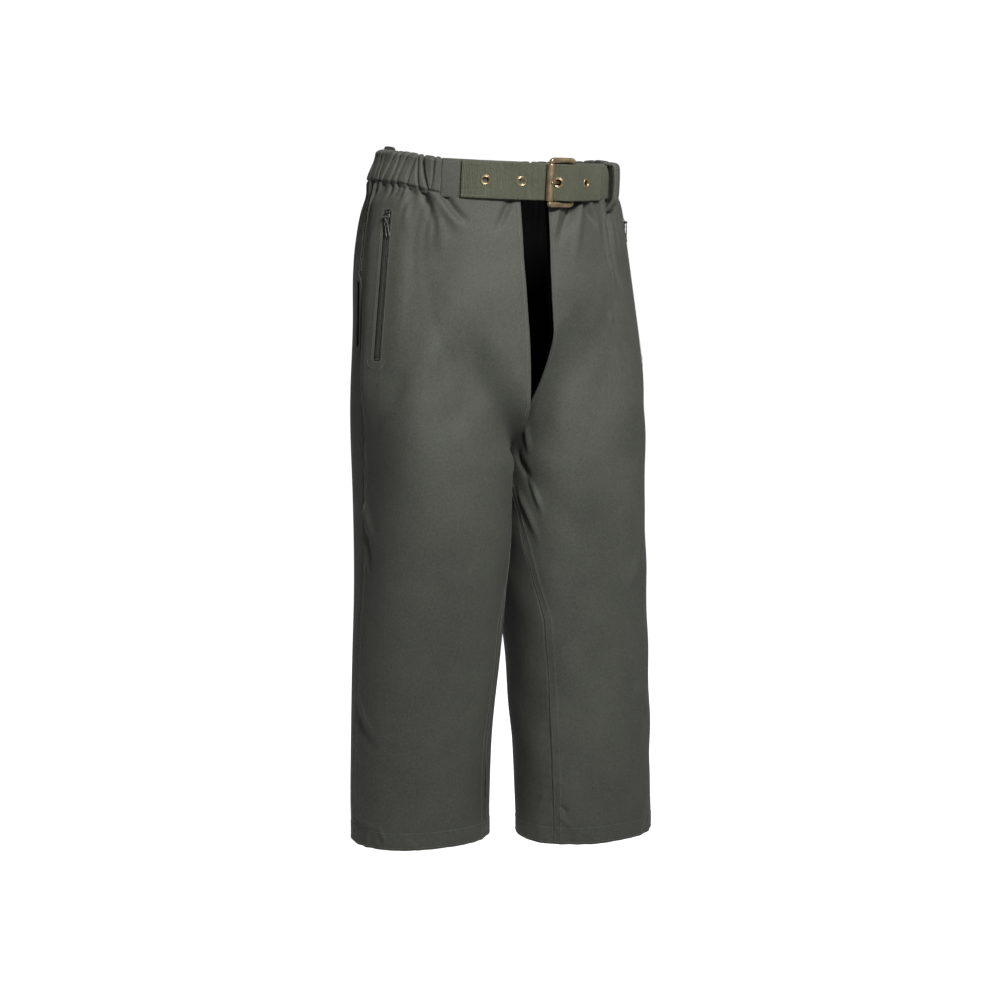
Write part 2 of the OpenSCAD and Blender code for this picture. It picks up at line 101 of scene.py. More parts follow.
def add_world():
    """White to the camera, dim as a light."""
    world = bpy.data.worlds.new("studio")
    world.use_nodes = True
    background = world.node_tree.nodes["Background"]
    background.inputs["Color"].default_value = (1, 1, 1, 1)
    path = world.node_tree.nodes.new("ShaderNodeLightPath")
    bright = world.node_tree.nodes.new("ShaderNodeMapRange")
    bright.inputs["To Min"].default_value = ROOM_LIGHT
    bright.inputs["To Max"].default_value = 1.0
    world.node_tree.links.new(path.outputs["Is Camera Ray"], bright.inputs["Value"])
    world.node_tree.links.new(bright.outputs["Result"], background.inputs["Strength"])
    bpy.context.scene.world = world


add_camera()
add_world()
add_light("key", -3, 1.0, 1.75, 0.5, 10, 75)
add_light("fill", 60, 0.5, 2.4, 1.0, 1.6, 180)
add_light("back", 165, 0.8, 2.6, 1.6, 18, 180)
bpy.context.scene.view_settings.view_transform = "Standard"


# ---------------------------------------------------------------- materials

class Shade:
    """Builds one material's nodes. A socket given as an input is linked, anything else is set."""

    def __init__(self, name):
        self.material = bpy.data.materials.new(name)
        self.material.use_nodes = True
        self.tree = self.material.node_tree
        self.shader = self.tree.nodes["Principled BSDF"]

    def put(self, made, inputs):
        for key, value in inputs.items():
            if isinstance(value, bpy.types.NodeSocket):
                self.tree.links.new(value, made.inputs[key])
            else:
                made.inputs[key].default_value = value

    def node(self, kind, inputs, output=0, **settings):
        """One output of a new shader node."""
        made = self.tree.nodes.new("ShaderNode" + kind)
        for key, value in settings.items():
            setattr(made, key, value)
        self.put(made, inputs)
        return made.outputs[output]

    def math(self, operation, a, b=0.0):
        return self.node("Math", {0: a, 1: b}, operation=operation)

    def noise(self, vector, scale, detail=3.0, roughness=0.55):
        """Noise around 0.5."""
        return self.node("TexNoise", {"Vector": vector, "Scale": scale, "Detail": detail, "Roughness": roughness})

    def wave(self, vector, period, direction="X"):
        """Bands of the given period, from 0 to 1."""
        return self.node("TexWave", {"Vector": vector, "Scale": 2 * math.pi / 20 / period},
                         output=1, bands_direction=direction)

    def between(self, value, low, high):
        """A value from 0 to 1, brought between two others."""
        return self.node("MapRange", {"Value": value, "To Min": low, "To Max": high})

    def ramp(self, factor, *stops):
        """A color between stops of (position, color)."""
        made = self.tree.nodes.new("ShaderNodeValToRGB")
        elements = made.color_ramp.elements
        elements[0].position, elements[0].color = stops[0]
        elements[1].position, elements[1].color = stops[-1]
        for position, color in stops[1:-1]:
            elements.new(position).color = color
        self.put(made, {"Fac": factor})
        return made.outputs["Color"]

    def bump(self, height, distance, strength=1.0, below=None):
        """A normal from a height, over the normal below it."""
        inputs = {"Height": height, "Distance": distance, "Strength": strength}
        if below is not None:
            inputs["Normal"] = below
        return self.node("Bump", inputs)

    def cloth(self):
        """Coordinates in metres along the cloth."""
        return self.node("UVMap", {}, uv_map="cloth")

    def space(self):
        """Coordinates in metres through the piece."""
        return self.node("TexCoord", {}, output=3)

    def finish(self, **inputs):
        """Sets the shader's inputs, whose names have _ for a space, and gives the material."""
        self.put(self.shader, {key.replace("_", " "): value for key, value in inputs.items()})
        return self.material


def shade_of(color, factor):
    """A color made darker or lighter."""
    return tuple(channel * factor for channel in color[:3]) + (1.0,)


def woven(name, color, pitch, roughness=0.62, sheen=0.12, depth=0.05 * MM, mottle=0.12, ribs=0.0, shine=0.3):
    """Plain-weave cloth whose weave follows the cloth's own coordinates."""
    s = Shade(name)
    uv, space = s.cloth(), s.space()
    over = s.node("TexChecker", {"Vector": uv, "Scale": 1 / pitch}, output=1)
    warp = s.wave(uv, 2 * pitch, "X")
    weft = s.wave(uv, 2 * pitch, "Y")
    weave = s.node("Mix", {0: over, 2: warp, 3: weft})
    cloudy = s.noise(space, 14, 4)
    grain = s.noise(space, 420, 2, 0.7)
    wear = s.math("ADD", s.math("MULTIPLY", cloudy, 0.45), s.math("MULTIPLY", grain, 0.55))
    base = s.ramp(wear, (0.30, shade_of(color, 1 - mottle)), (0.5, shade_of(color, 1)),
                  (0.72, shade_of(color, 1 + mottle)))
    shadow = s.between(weave, 0.82, 1.0)
    tinted = s.node("Mix", {0: 1.0, 6: base, 7: shadow}, output=2, data_type="RGBA", blend_type="MULTIPLY")
    normal = s.bump(weave, depth)
    if ribs:
        normal = s.bump(s.wave(uv, ribs, "X"), 3 * depth, below=normal)
    normal = s.bump(grain, 0.2 * MM, 0.7, below=normal)
    rough = s.between(cloudy, roughness - 0.06, roughness + 0.06)
    return s.finish(Base_Color=tinted, Roughness=rough, Normal=normal, Sheen_Weight=sheen,
                    Sheen_Roughness=0.45, Specular_IOR_Level=shine)


def metal(name, dark, middle, bright, roughness, metallic=1.0):
    """Cast metal, dark in its hollows and worn bright on its edges."""
    s = Shade(name)
    space = s.space()
    edges = s.node("NewGeometry", {}, output=7)
    patina = s.noise(space, 110, 4, 0.55)
    grain = s.noise(space, 1500, 2)
    worn = s.math("ADD", s.math("MULTIPLY", edges, 1.3), s.math("MULTIPLY", patina, 0.25))
    color = s.ramp(worn, (0.70, dark), (0.79, middle), (0.95, bright))
    rough = s.between(patina, roughness - 0.06, roughness + 0.1)
    normal = s.bump(grain, 0.02 * MM, 0.5)
    return s.finish(Base_Color=color, Metallic=metallic, Roughness=rough, Normal=normal)


def thread(name, color):
    """Twisted sewing thread."""
    s = Shade(name)
    twist = s.noise(s.space(), 2600, 2)
    base = s.ramp(twist, (0.3, shade_of(color, 0.75)), (0.7, shade_of(color, 1.25)))
    return s.finish(Base_Color=base, Roughness=0.55, Normal=s.bump(twist, 0.06 * MM), Sheen_Weight=0.2)


def plastic(name, color, roughness):
    """Moulded nylon with a fine grain."""
    s = Shade(name)
    grain = s.noise(s.space(), 900, 3)
    base = s.ramp(grain, (0.3, shade_of(color, 0.8)), (0.7, shade_of(color, 1.2)))
    return s.finish(Base_Color=base, Roughness=s.between(grain, roughness - 0.08, roughness + 0.08),
                    Normal=s.bump(grain, 0.04 * MM, 0.5))


OLIVE = (0.071, 0.074, 0.061)
materials = {
    "outer_fabric": woven("coated_polyester", OLIVE, 0.42 * MM, sheen=0.03, mottle=0.3),
    "band_fabric": woven("band_polyester", shade_of(OLIVE, 1.15), 0.42 * MM, sheen=0.03, mottle=0.3),
    # The lining is black cloth, and its near-black value is also painted shade: it stands for the dark hollow inside
    # the garment, seen through the front opening and the hand slits.
    "lining": woven("black_lining_and_painted_shade", (0.0032, 0.0033, 0.0032), 0.9 * MM, 0.9, 0.0, 0.12 * MM, shine=0.04),
    "pad_fill": woven("pad_fibre", (0.55, 0.54, 0.50), 1.6 * MM, 0.9, 0.2, 0.2 * MM),
    "webbing": woven("ribbed_webbing", (0.096, 0.102, 0.069), 0.7 * MM, 0.75, 0.04, 0.1 * MM, 0.32, 1.7 * MM, 0.2),
    "elastic": woven("ribbed_elastic", (0.02, 0.02, 0.02), 0.6 * MM, 0.75, 0.1, 0.1 * MM, ribs=1.2 * MM),
    "black_tape": woven("black_tape", (0.011, 0.011, 0.011), 0.6 * MM, 0.7, 0.1, 0.1 * MM, ribs=1.4 * MM),
    "zip_tape": woven("zip_tape", (0.013, 0.014, 0.012), 0.5 * MM, 0.75, 0.1, 0.08 * MM, ribs=1.0 * MM),
    "zip_coil": plastic("nylon_coil", (0.05, 0.053, 0.045), 0.42),
    "brass": metal("antique_brass", (0.15, 0.10, 0.05, 1), (0.40, 0.30, 0.175, 1), (0.80, 0.64, 0.42, 1), 0.33, 0.85),
    "zip_metal": metal("gunmetal", (0.02, 0.02, 0.019, 1), (0.06, 0.061, 0.057, 1), (0.24, 0.24, 0.23, 1), 0.45),
    "thread": thread("olive_thread", (0.115, 0.120, 0.096)),
    "dark_thread": thread("black_thread", (0.02, 0.022, 0.018)),
}


# ---------------------------------------------------------------- mesh making

class Piece:
    """Collects the vertices, faces and cloth coordinates of one piece."""

    def __init__(self):
        self.points, self.faces, self.cloth = [], [], []
        self.count = 0

    def add(self, points, faces, cloth=None):
        points = np.asarray(points, float).reshape(-1, 3)
        cloth = points[:, [0, 2]] if cloth is None else np.asarray(cloth, float).reshape(-1, 2)
        self.points.append(points)
        self.cloth.append(cloth)
        self.faces += [[k + self.count for k in face] for face in faces]
        self.count += len(points)
        return self

    def make(self, name, slot, material=None, nodes=(), body=BODY):
        """The finished object, on its body, standing for its CAD nodes."""
        mesh = bpy.data.meshes.new(name)
        points = np.concatenate(self.points)
        mesh.from_pydata(points.tolist(), [], self.faces)
        corners = np.zeros(len(mesh.loops), int)
        mesh.loops.foreach_get("vertex_index", corners)
        layer = mesh.uv_layers.new(name="cloth")
        layer.data.foreach_set("uv", np.concatenate(self.cloth)[corners].astype(np.float32).ravel())
        outward(mesh)
        mesh.polygons.foreach_set("use_smooth", [True] * len(mesh.polygons))
        mesh.materials.append(materials[material or slot])
        made = add_object(name, mesh)
        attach(made, body)
        if nodes:
            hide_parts(*nodes)
        return made


def outward(mesh):
    """Turns all faces of a closed mesh outwards."""
    edit = bmesh.new()
    edit.from_mesh(mesh)
    bmesh.ops.recalc_face_normals(edit, faces=edit.faces)
    edit.to_mesh(mesh)
    edit.free()


def grid_faces(rows, cols, around=False, first=0):
    """Quads of a grid of rows x cols points. around also joins the last column to the first."""
    across = cols if around else cols - 1
    j, i = np.meshgrid(np.arange(rows - 1), np.arange(across), indexing="ij")
    k = (i + 1) % cols
    quads = np.stack([j * cols + i, (j + 1) * cols + i, (j + 1) * cols + k, j * cols + k], -1)
    return (quads.reshape(-1, 4) + first).tolist()


def unit(v):
    """Vectors made 1 long."""
    return v / np.maximum(np.linalg.norm(v, axis=-1, keepdims=True), 1e-12)


def lengths_along(line):
    """The length of a polyline up to each of its points."""
    return np.concatenate([[0], np.cumsum(np.linalg.norm(np.diff(line, axis=0), axis=-1))])


def cloth_coordinates(grid):
    """Lengths along the middle row and the middle column of a grid of points."""
    rows, cols = grid.shape[:2]
    return np.stack(np.meshgrid(lengths_along(grid[rows // 2]), lengths_along(grid[:, cols // 2])), -1)


def add_shell(piece, outer, inner):
    """A closed sheet between two grids of points, with a rounded rim."""
    rows, cols = outer.shape[:2]
    ring = ([(0, i) for i in range(cols)] + [(j, cols - 1) for j in range(1, rows)]
            + [(rows - 1, i) for i in range(cols - 2, -1, -1)] + [(j, 0) for j in range(rows - 2, 0, -1)])
    at = np.array(ring)
    inside = np.stack([np.clip(at[:, 0], 1, rows - 2), np.clip(at[:, 1], 1, cols - 2)], -1)
    middle = (outer + inner) / 2
    edge, near = middle[at[:, 0], at[:, 1]], middle[inside[:, 0], inside[:, 1]]
    half = np.linalg.norm(outer[at[:, 0], at[:, 1]] - inner[at[:, 0], at[:, 1]], axis=-1, keepdims=True) / 2
    rim = edge + unit(edge - near) * half
    n = rows * cols
    faces = grid_faces(rows, cols) + [f[::-1] for f in grid_faces(rows, cols, first=n)]
    for a in range(len(ring)):
        b = (a + 1) % len(ring)
        p, q = ring[a][0] * cols + ring[a][1], ring[b][0] * cols + ring[b][1]
        faces.append([p, 2 * n + a, 2 * n + b, q])
        faces.append([n + p, n + q, 2 * n + b, 2 * n + a])
    uv = cloth_coordinates(outer)
    piece.add(np.concatenate([outer.reshape(-1, 3), inner.reshape(-1, 3), rim]), faces,
              np.concatenate([uv.reshape(-1, 2), uv.reshape(-1, 2), uv[at[:, 0], at[:, 1]]]))
    return piece


def add_tube(piece, rings, closed=False, cloth=None):
    """A closed tube through rings of points (rings x points x 3), with flat ends unless it is closed."""
    count, around = rings.shape[:2]
    if closed:
        rings = np.concatenate([rings, rings[:1]])
        faces = grid_faces(count + 1, around, True)
        faces = [[k % (count * around) for k in f] for f in faces]
        rings = rings[:count]
    else:
        faces = grid_faces(count, around, True)
        faces += [list(range(around))[::-1], [(count - 1) * around + i for i in range(around)]]
    if cloth is None:
        cloth = np.stack(np.meshgrid(lengths_along(rings.mean(1)), lengths_along(rings[0]), indexing="ij"), -1)
    return piece.add(rings, faces, cloth)


def rounded_section(width, thickness, radius, steps=4, bulge=0.0):
    """The outline of a flat strip: x across its width, y through it, corners rounded."""
    radius = min(radius, width / 2 - 1e-6, thickness / 2 - 1e-6)
    corners = [(1, 1, 0), (-1, 1, 90), (-1, -1, 180), (1, -1, 270)]
    points = []
    for sx, sy, start in corners:
        for k in range(steps + 1):
            a = math.radians(start + 90 * k / steps)
            points.append((sx * (width / 2 - radius) + radius * math.cos(a),
                           sy * (thickness / 2 - radius) + radius * math.sin(a)))
    points = np.array(points)
    if bulge:
        points[:, 1] += np.sign(points[:, 1]) * bulge * (1 - (2 * points[:, 0] / width) ** 2)
    return points


def resampled_section(width, thickness, radius, step):
    """A rounded section with even spacing, so that folds can run across its flat sides."""
    return resampled_loop(rounded_section(width, thickness, radius, 8), step)


def cut_away(target, cutters):
    """Cuts closed tools out of a piece."""
    for tool in cutters:
        change = target.modifiers.new("cut", "BOOLEAN")
        change.operation = "DIFFERENCE"
        change.solver = "EXACT"
        change.object = tool
    evaluated = target.evaluated_get(bpy.context.evaluated_depsgraph_get())
    result = bpy.data.meshes.new_from_object(evaluated)
    target.modifiers.clear()
    target.data = result
    for tool in cutters:
        bpy.data.objects.remove(tool)


def tool_from(rings):
    """A closed tool for cut_away, lofted through rings of points."""
    piece = add_tube(Piece(), rings)
    mesh = bpy.data.meshes.new("tool")
    mesh.from_pydata(np.concatenate(piece.points).tolist(), [], piece.faces)
    outward(mesh)
    return add_object("tool", mesh)


def softened(line, times=3):
    """Rounds a polyline's corners. The middle of each stretch stays on its own line."""
    line = np.asarray(line, float)
    for _ in range(times):
        a, b = line[:-1], line[1:]
        cut = np.stack([0.75 * a + 0.25 * b, 0.25 * a + 0.75 * b], 1).reshape(-1, line.shape[1])
        line = np.concatenate([line[:1], cut[1:-1], line[-1:]])
    return line


def resampled(line, step):
    """Points at an even spacing along a polyline."""
    line = np.asarray(line, float)
    along = lengths_along(line)
    wanted = np.linspace(0, along[-1], max(2, int(round(along[-1] / step)) + 1))
    return np.stack([np.interp(wanted, along, line[:, k]) for k in range(line.shape[1])], -1)


def resampled_loop(loop, step):
    """Points at an even spacing round a closed line."""
    return resampled(np.concatenate([loop, loop[:1]]), step)[:-1]


def path_normal(path, closed=False):
    """The direction to the right of a flat path, at each of its points."""
    forward = unit(np.roll(path, -1, 0) - np.roll(path, 1, 0) if closed else np.gradient(path, axis=0))
    return np.stack([forward[:, 1], -forward[:, 0]], -1)


def add_rods(piece, rings):
    """Many short closed tubes at once, from an array of rods x rings x points x 3."""
    count, marks, sides = rings.shape[:3]
    size = marks * sides
    first = (np.arange(count) * size)[:, None, None]
    walls = np.array(grid_faces(marks, sides, True))
    caps = np.array([list(range(sides))[::-1], [size - sides + i for i in range(sides)]])
    faces = (walls[None] + first).reshape(-1, 4).tolist() + (caps[None] + first).reshape(-1, sides).tolist()
    return piece.add(rings, faces)


STITCH_RADIUS = 0.27 * MM
STITCH_SHARE = 0.8     # the part of the pitch that shows as thread
STITCH_SIDES = 6


def add_stitches(piece, line, normals, pitch=3.0 * MM):
    """A row of thread stitches along a line on a surface."""
    both = resampled(np.concatenate([line, normals], 1), 0.25 * MM)
    line, normals = both[:, :3], unit(both[:, 3:])
    along = lengths_along(line)
    count = int(along[-1] / pitch)
    if count < 1:
        return piece
    pitch = along[-1] / count
    marks = np.array([0.0, 0.12, 0.5, 0.88, 1.0])
    widths = np.array([0.35, 0.85, 1.0, 0.85, 0.35]) * STITCH_RADIUS
    lifts = np.array([-0.3, 0.25, 0.45, 0.25, -0.3]) * STITCH_RADIUS
    at = (np.arange(count)[:, None] + 0.5 + (marks - 0.5) * STITCH_SHARE) * pitch
    centre = np.stack([np.interp(at, along, line[:, k]) for k in range(3)], -1)
    up = unit(np.stack([np.interp(at, along, normals[:, k]) for k in range(3)], -1))
    across = unit(np.cross(unit(centre[:, -1:] - centre[:, :1]), up))
    centre = centre + up * lifts[None, :, None]
    angle = (np.arange(STITCH_SIDES) * 2 * math.pi / STITCH_SIDES)[:, None]
    around = across[:, :, None] * np.cos(angle) + up[:, :, None] * np.sin(angle)
    return add_rods(piece, centre[:, :, None] + around * widths[None, :, None, None])


# ---------------------------------------------------------------- the legs' surface

def smooth(s):
    """A smooth step from 0 to 1."""
    s = np.clip(s, 0, 1)
    return s * s * (3 - 2 * s)


def bell(x):
    """A smooth bump, 1 at 0."""
    return np.exp(-x * x)


def smooth_curve(xs, ys):
    """A function through points with rising xs, with smooth slopes and no overshoot."""
    xs, ys = np.asarray(xs, float), np.asarray(ys, float)
    steps = np.diff(xs)
    slopes = np.diff(ys) / steps
    before, after = slopes[:-1], slopes[1:]
    same = before * after > 0
    tangents = np.concatenate([[slopes[0]], np.where(same, 2 * before * after
                               / np.where(same, before + after, 1), 0), [slopes[-1]]])

    def at(x):
        x = np.clip(x, xs[0], xs[-1])
        k = np.clip(np.searchsorted(xs, x) - 1, 0, len(steps) - 1)
        s, h = (x - xs[k]) / steps[k], steps[k]
        return (ys[k] * (1 + 2 * s) * (1 - s) ** 2 + tangents[k] * h * s * (1 - s) ** 2
                + ys[k + 1] * s * s * (3 - 2 * s) + tangents[k + 1] * h * s * s * (s - 1))
    return at


# Millimetres: a height, the half width, the half depth and the middle's Y.
HIPS = [
    (0, 146, 105, 4), (-22, 148, 104, 7), (-50, 156, 108.5, 10), (-90, 162, 113, 10), (-134, 165, 116, 7),
    (-180, 166, 116, 3), (-250, 166, 112, -2), (-320, 166, 106, -6),
]
# Millimetres: a height, the inner X, the outer X, the front Y, the back Y; then the outline's squareness.
LEGS = [
    (-200, 3, 166, -104, 92, 2.9), (-320, 3, 166, -103, 88, 2.9), (-430, 3, 168, -98, 70, 2.7),
    (-548, 7, 172, -90, 58, 2.4), (-650, 11, 175, -84, 52, 2.2), (-770, 13, 174, -82, 48, 2.1),
]


def column(rows, k):
    """Column k of a table of heights, as a smooth function of the height in millimetres."""
    rows = sorted(rows)
    return smooth_curve([r[0] for r in rows], [r[k] for r in rows])


HIP_W, HIP_D, HIP_Y = (column(HIPS, k) for k in (1, 2, 3))
LEG_IN, LEG_OUT, LEG_FRONT, LEG_BACK, LEG_SQUARE = (column(LEGS, k) for k in (1, 2, 3, 4, 5))
FRONT_GAP = {LEFT: (20, 18), RIGHT: (16, 11)}
SEAT_GAP = (45, 60)
CROTCH_Z = -320
STANCE = 24
BLEND_Z = -45
FRONT_BLEND_Z = {LEFT: -175, RIGHT: -235}
FRONT_BLEND_POWER = {LEFT: 1.4, RIGHT: 3}
SEAT_BLEND_Z = -120
INSEAM_TURN = math.radians(42)


def leg_point(side, t, z, inset=0.0):
    """A point of one leg's plain surface, on the +X side. inset is the depth below the outer face."""
    t, z, d = np.broadcast_arrays(np.asarray(t, float), np.asarray(z, float) / MM, np.asarray(inset, float) / MM)
    half_w, half_d = HIP_W(z) - d, HIP_D(z) - d
    front_gap = np.interp(-z, [0, 240], FRONT_GAP[side])
    seat_gap = np.interp(-z, [0, 300], SEAT_GAP)
    hip_angle = np.where(t <= 0.5, np.arccos(front_gap / half_w) * (1 - 2 * t),
                         -np.arccos(seat_gap / half_w) * (2 * t - 1))
    step = -side * STANCE * smooth((CROTCH_Z - z) / 430)
    inner, outer = LEG_IN(z) + d, LEG_OUT(z) - d
    front, back = LEG_FRONT(z) + d + step, LEG_BACK(z) - d + step
    power = 2 / LEG_SQUARE(z)
    seam = INSEAM_TURN * np.clip((CROTCH_Z - z) / 180, 0, 1)
    leg_angle = np.where(t <= 0.5, (math.pi - seam) * (1 - 2 * t), -(math.pi + seam) * (2 * t - 1))
    cosine, sine = np.cos(leg_angle), np.sin(leg_angle)
    leg_x = (outer + inner) / 2 + (outer - inner) / 2 * np.sign(cosine) * np.abs(cosine) ** power
    leg_y = (back + front) / 2 - (back - front) / 2 * np.sign(sine) * np.abs(sine) ** power
    edge = (1 - 2 * t) ** 2
    edge_z = np.where(t < 0.5, FRONT_BLEND_Z[side], SEAT_BLEND_Z)
    blend_z = BLEND_Z * (1 - edge) + edge_z * edge
    s = np.clip((blend_z - z) / (blend_z - CROTCH_Z), 0, 1)
    edge_power = np.where(t < 0.5, FRONT_BLEND_POWER[side], 2)
    w = smooth(s) * (1 - edge) + s ** edge_power * edge
    x = half_w * np.cos(hip_angle) * (1 - w) + leg_x * w
    y = (HIP_Y(z) - half_d * np.sin(hip_angle)) * (1 - w) + leg_y * w
    return np.stack([x, y, z], -1) * MM


def leg_normal(side, t, z):
    """The outward direction of the plain surface, on the +X side."""
    t, z = np.broadcast_arrays(np.asarray(t, float), np.asarray(z, float))
    t0, t1 = np.clip(t - 0.012, 0, 1), np.clip(t + 0.012, 0, 1)
    same_half = np.where(t <= 0.5, np.minimum(t1, 0.5), t1)
    t0 = np.where(t > 0.5, np.maximum(t0, 0.5), t0)
    along = leg_point(side, same_half, z) - leg_point(side, t0, z)
    up = leg_point(side, t, z + 3 * MM) - leg_point(side, t, z - 3 * MM)
    return unit(np.cross(along, up))


WAIST_TILT = math.radians(7)
BAND_H = 42 * MM
HEM_H = 20 * MM
HIP_LIFT = 7.5 * MM     # how far the gathers draw the waist seam up at the wearer's right hip
HIP_TURN = 72           # degrees of the waist from a side seam to either edge of a leg
BACK_SLOPE = 0.088      # how much less than the front's slope the back of the waist rises


def hip_lift(angle):
    """How far the gathers draw the waist seam up at an angle round the waist, from 128 to 228 degrees."""
    return HIP_LIFT * smooth((228 - angle) / 26) * smooth((angle - 128) / 32)


def back_sag(y):
    """How far the elastic back of the waist hangs below the plane of its front."""
    y = np.maximum(y, 0)
    return BACK_SLOPE * y * smooth(y / 0.04)


def top_z(side, t):
    """The height of a leg's upper edge, which the waistband covers."""
    y = leg_point(side, t, -BAND_H / 2)[..., 1]
    lift = hip_lift(180 - HIP_TURN * (2 * t - 1)) * (side == RIGHT)
    return y * math.tan(WAIST_TILT) - (BAND_H / 2 - 3 * MM) / math.cos(WAIST_TILT) + lift - back_sag(y)


def hem_z(side):
    """The height of a leg's hem."""
    return (-756.5 - side * 1.5) * MM


def length_per_t(side, t, z):
    """Metres of cloth to one unit of t."""
    step = 0.004
    t0, t1 = np.clip(t - step, 0, 1), np.clip(t + step, 0, 1)
    return np.linalg.norm(leg_point(side, t1, z) - leg_point(side, t0, z), axis=-1) / (t1 - t0)


def turned(axis, degrees):
    """The matrix of a turn about axis 0, 1 or 2."""
    c, s = math.cos(math.radians(degrees)), math.sin(math.radians(degrees))
    a, b = (axis + 1) % 3, (axis + 2) % 3
    turn = np.eye(3)
    turn[a, a] = turn[b, b] = c
    turn[a, b], turn[b, a] = -s, s
    return turn


# The frames of the pocket zip and of the hand slit, on the +X side.
ZIP_AT = np.array([144.7, -32.4, -47]) * MM
ZIP_TURN = turned(2, 57.2) @ turned(0, -8)
ZIP_L = 158 * MM
SLIT_AT = np.array([165.4, 5.6, -156]) * MM
SLIT_TURN = turned(1, -1.2)
SLIT_L = 76 * MM


def mirrored(side, points):
    """Points of the +X side, brought to their own side."""
    return np.asarray(points, float) * (side, 1, 1)


def from_zip(side, points):
    """Points in the zip's frame (Z up the zip, -Y out of the cloth) in the shared frame."""
    return mirrored(side, np.asarray(points, float) @ ZIP_TURN.T + ZIP_AT)


def from_slit(side, points):
    """Points in the slit's frame (Z up the slit, X out of the cloth) in the shared frame."""
    return mirrored(side, np.asarray(points, float) @ SLIT_TURN.T + SLIT_AT)


# Creases of each side: points (t, height in millimetres), the height and the width in millimetres, and how
# much of the crease rises and falls at its two ends.
CREASES = {
    RIGHT: [
        ([(0.205, -26), (0.166, -46), (0.125, -60)], -1.9, 4.0, 0.0, 0.6),
        ([(0.225, -26), (0.180, -50), (0.135, -70)], 1.5, 6.0, 0.0, 0.6),
        ([(0.262, -26), (0.221, -49), (0.211, -85)], -1.7, 4.5, 0.0, 0.7),
        ([(0.240, -26), (0.205, -60), (0.195, -105)], 1.3, 7.0, 0.0, 0.7),
        ([(0.297, -26), (0.315, -46), (0.345, -66)], -1.5, 4.0, 0.0, 0.6),
        ([(0.318, -26), (0.300, -50), (0.290, -80)], 1.1, 5.0, 0.0, 0.6),
        ([(0.389, -47), (0.411, -64), (0.445, -90)], 1.0, 2.6, 0.2, 0.4),
        ([(0.020, -28), (0.046, -52), (0.075, -72)], -1.3, 4.5, 0.0, 0.6),
        ([(0.120, -110), (0.230, -175), (0.370, -260)], 1.6, 22, 0.4, 0.4),
        ([(0.060, -130), (0.170, -215), (0.300, -300)], -1.5, 20, 0.4, 0.4),
        ([(0.330, -215), (0.430, -262), (0.490, -300)], -0.9, 9, 0.3, 0.3),
        ([(0.120, -290), (0.100, -318), (0.112, -348)], 0.8, 3.0, 0.3, 0.4),
        ([(0.495, -585), (0.432, -613), (0.375, -630)], 0.9, 5.0, 0.2, 0.5),
        ([(0.495, -600), (0.420, -634), (0.350, -650)], -0.8, 8.0, 0.2, 0.5),
        ([(0.490, -718), (0.430, -728), (0.365, -737)], 0.7, 3.6, 0.2, 0.4),
        ([(0.375, -728), (0.345, -748)], 0.8, 2.6, 0.2, 0.2),
        ([(0.280, -742), (0.250, -754)], 0.7, 2.6, 0.2, 0.1),
        ([(0.500, -366), (0.482, -395), (0.455, -408)], 1.2, 7, 0.2, 0.5),
        ([(0.500, -392), (0.480, -425), (0.462, -446)], -1.1, 6, 0.2, 0.5),
    ],
    LEFT: [
        ([(0.088, -26), (0.046, -58), (0.010, -88)], -2.2, 6.5, 0.0, 0.6),
        ([(0.108, -26), (0.085, -60), (0.062, -110)], 1.6, 7.0, 0.0, 0.7),
        ([(0.036, -26), (0.022, -50), (0.012, -74)], 1.1, 3.5, 0.0, 0.6),
        ([(0.112, -30), (0.132, -47), (0.160, -62)], -1.8, 4.5, 0.0, 0.6),
        ([(0.135, -28), (0.160, -50), (0.176, -78)], 1.2, 5.5, 0.0, 0.6),
        ([(0.209, -26), (0.192, -70), (0.205, -104), (0.250, -136)], 1.5, 2.6, 0.0, 0.3),
        ([(0.232, -26), (0.222, -70), (0.238, -108), (0.280, -138)], -2.4, 5.5, 0.0, 0.4),
        ([(0.215, -150), (0.236, -166), (0.262, -182)], 1.0, 4.0, 0.3, 0.4),
        ([(0.225, -158), (0.250, -178), (0.300, -205)], -1.0, 7.0, 0.3, 0.4),
        ([(0.330, -30), (0.355, -60), (0.380, -95)], -1.7, 5.5, 0.0, 0.6),
        ([(0.372, -30), (0.385, -70), (0.400, -110)], 1.2, 6.0, 0.0, 0.6),
        ([(0.010, -276), (0.050, -296), (0.085, -314)], 1.1, 4.0, 0.3, 0.4),
        ([(0.012, -300), (0.066, -330), (0.080, -366)], -1.4, 5.0, 0.3, 0.5),
        ([(0.060, -330), (0.082, -356), (0.092, -384)], 1.2, 3.6, 0.3, 0.4),
        ([(0.020, -350), (0.045, -380), (0.060, -420)], 1.0, 5.0, 0.3, 0.5),
        ([(0.050, -200), (0.120, -262), (0.210, -320)], 1.2, 20, 0.4, 0.4),
        ([(0.020, -724), (0.055, -737), (0.075, -742)], 0.6, 3.4, 0.2, 0.4),
        ([(0.022, -712), (0.050, -722)], -0.7, 3.0, 0.2, 0.4),
        ([(0.985, -690), (0.975, -712), (0.955, -724)], 0.4, 5.0, 0.4, 0.4),
        ([(0.340, -420), (0.290, -450), (0.240, -475)], 1.0, 10, 0.3, 0.4),
        ([(0.350, -600), (0.300, -588), (0.250, -590)], 1.0, 9, 0.3, 0.4),
        ([(0.360, -618), (0.300, -612), (0.240, -618)], -0.9, 8, 0.3, 0.4),
    ],
}
CREASE_GAIN, CREASE_NARROWING = 2.7, 0.85


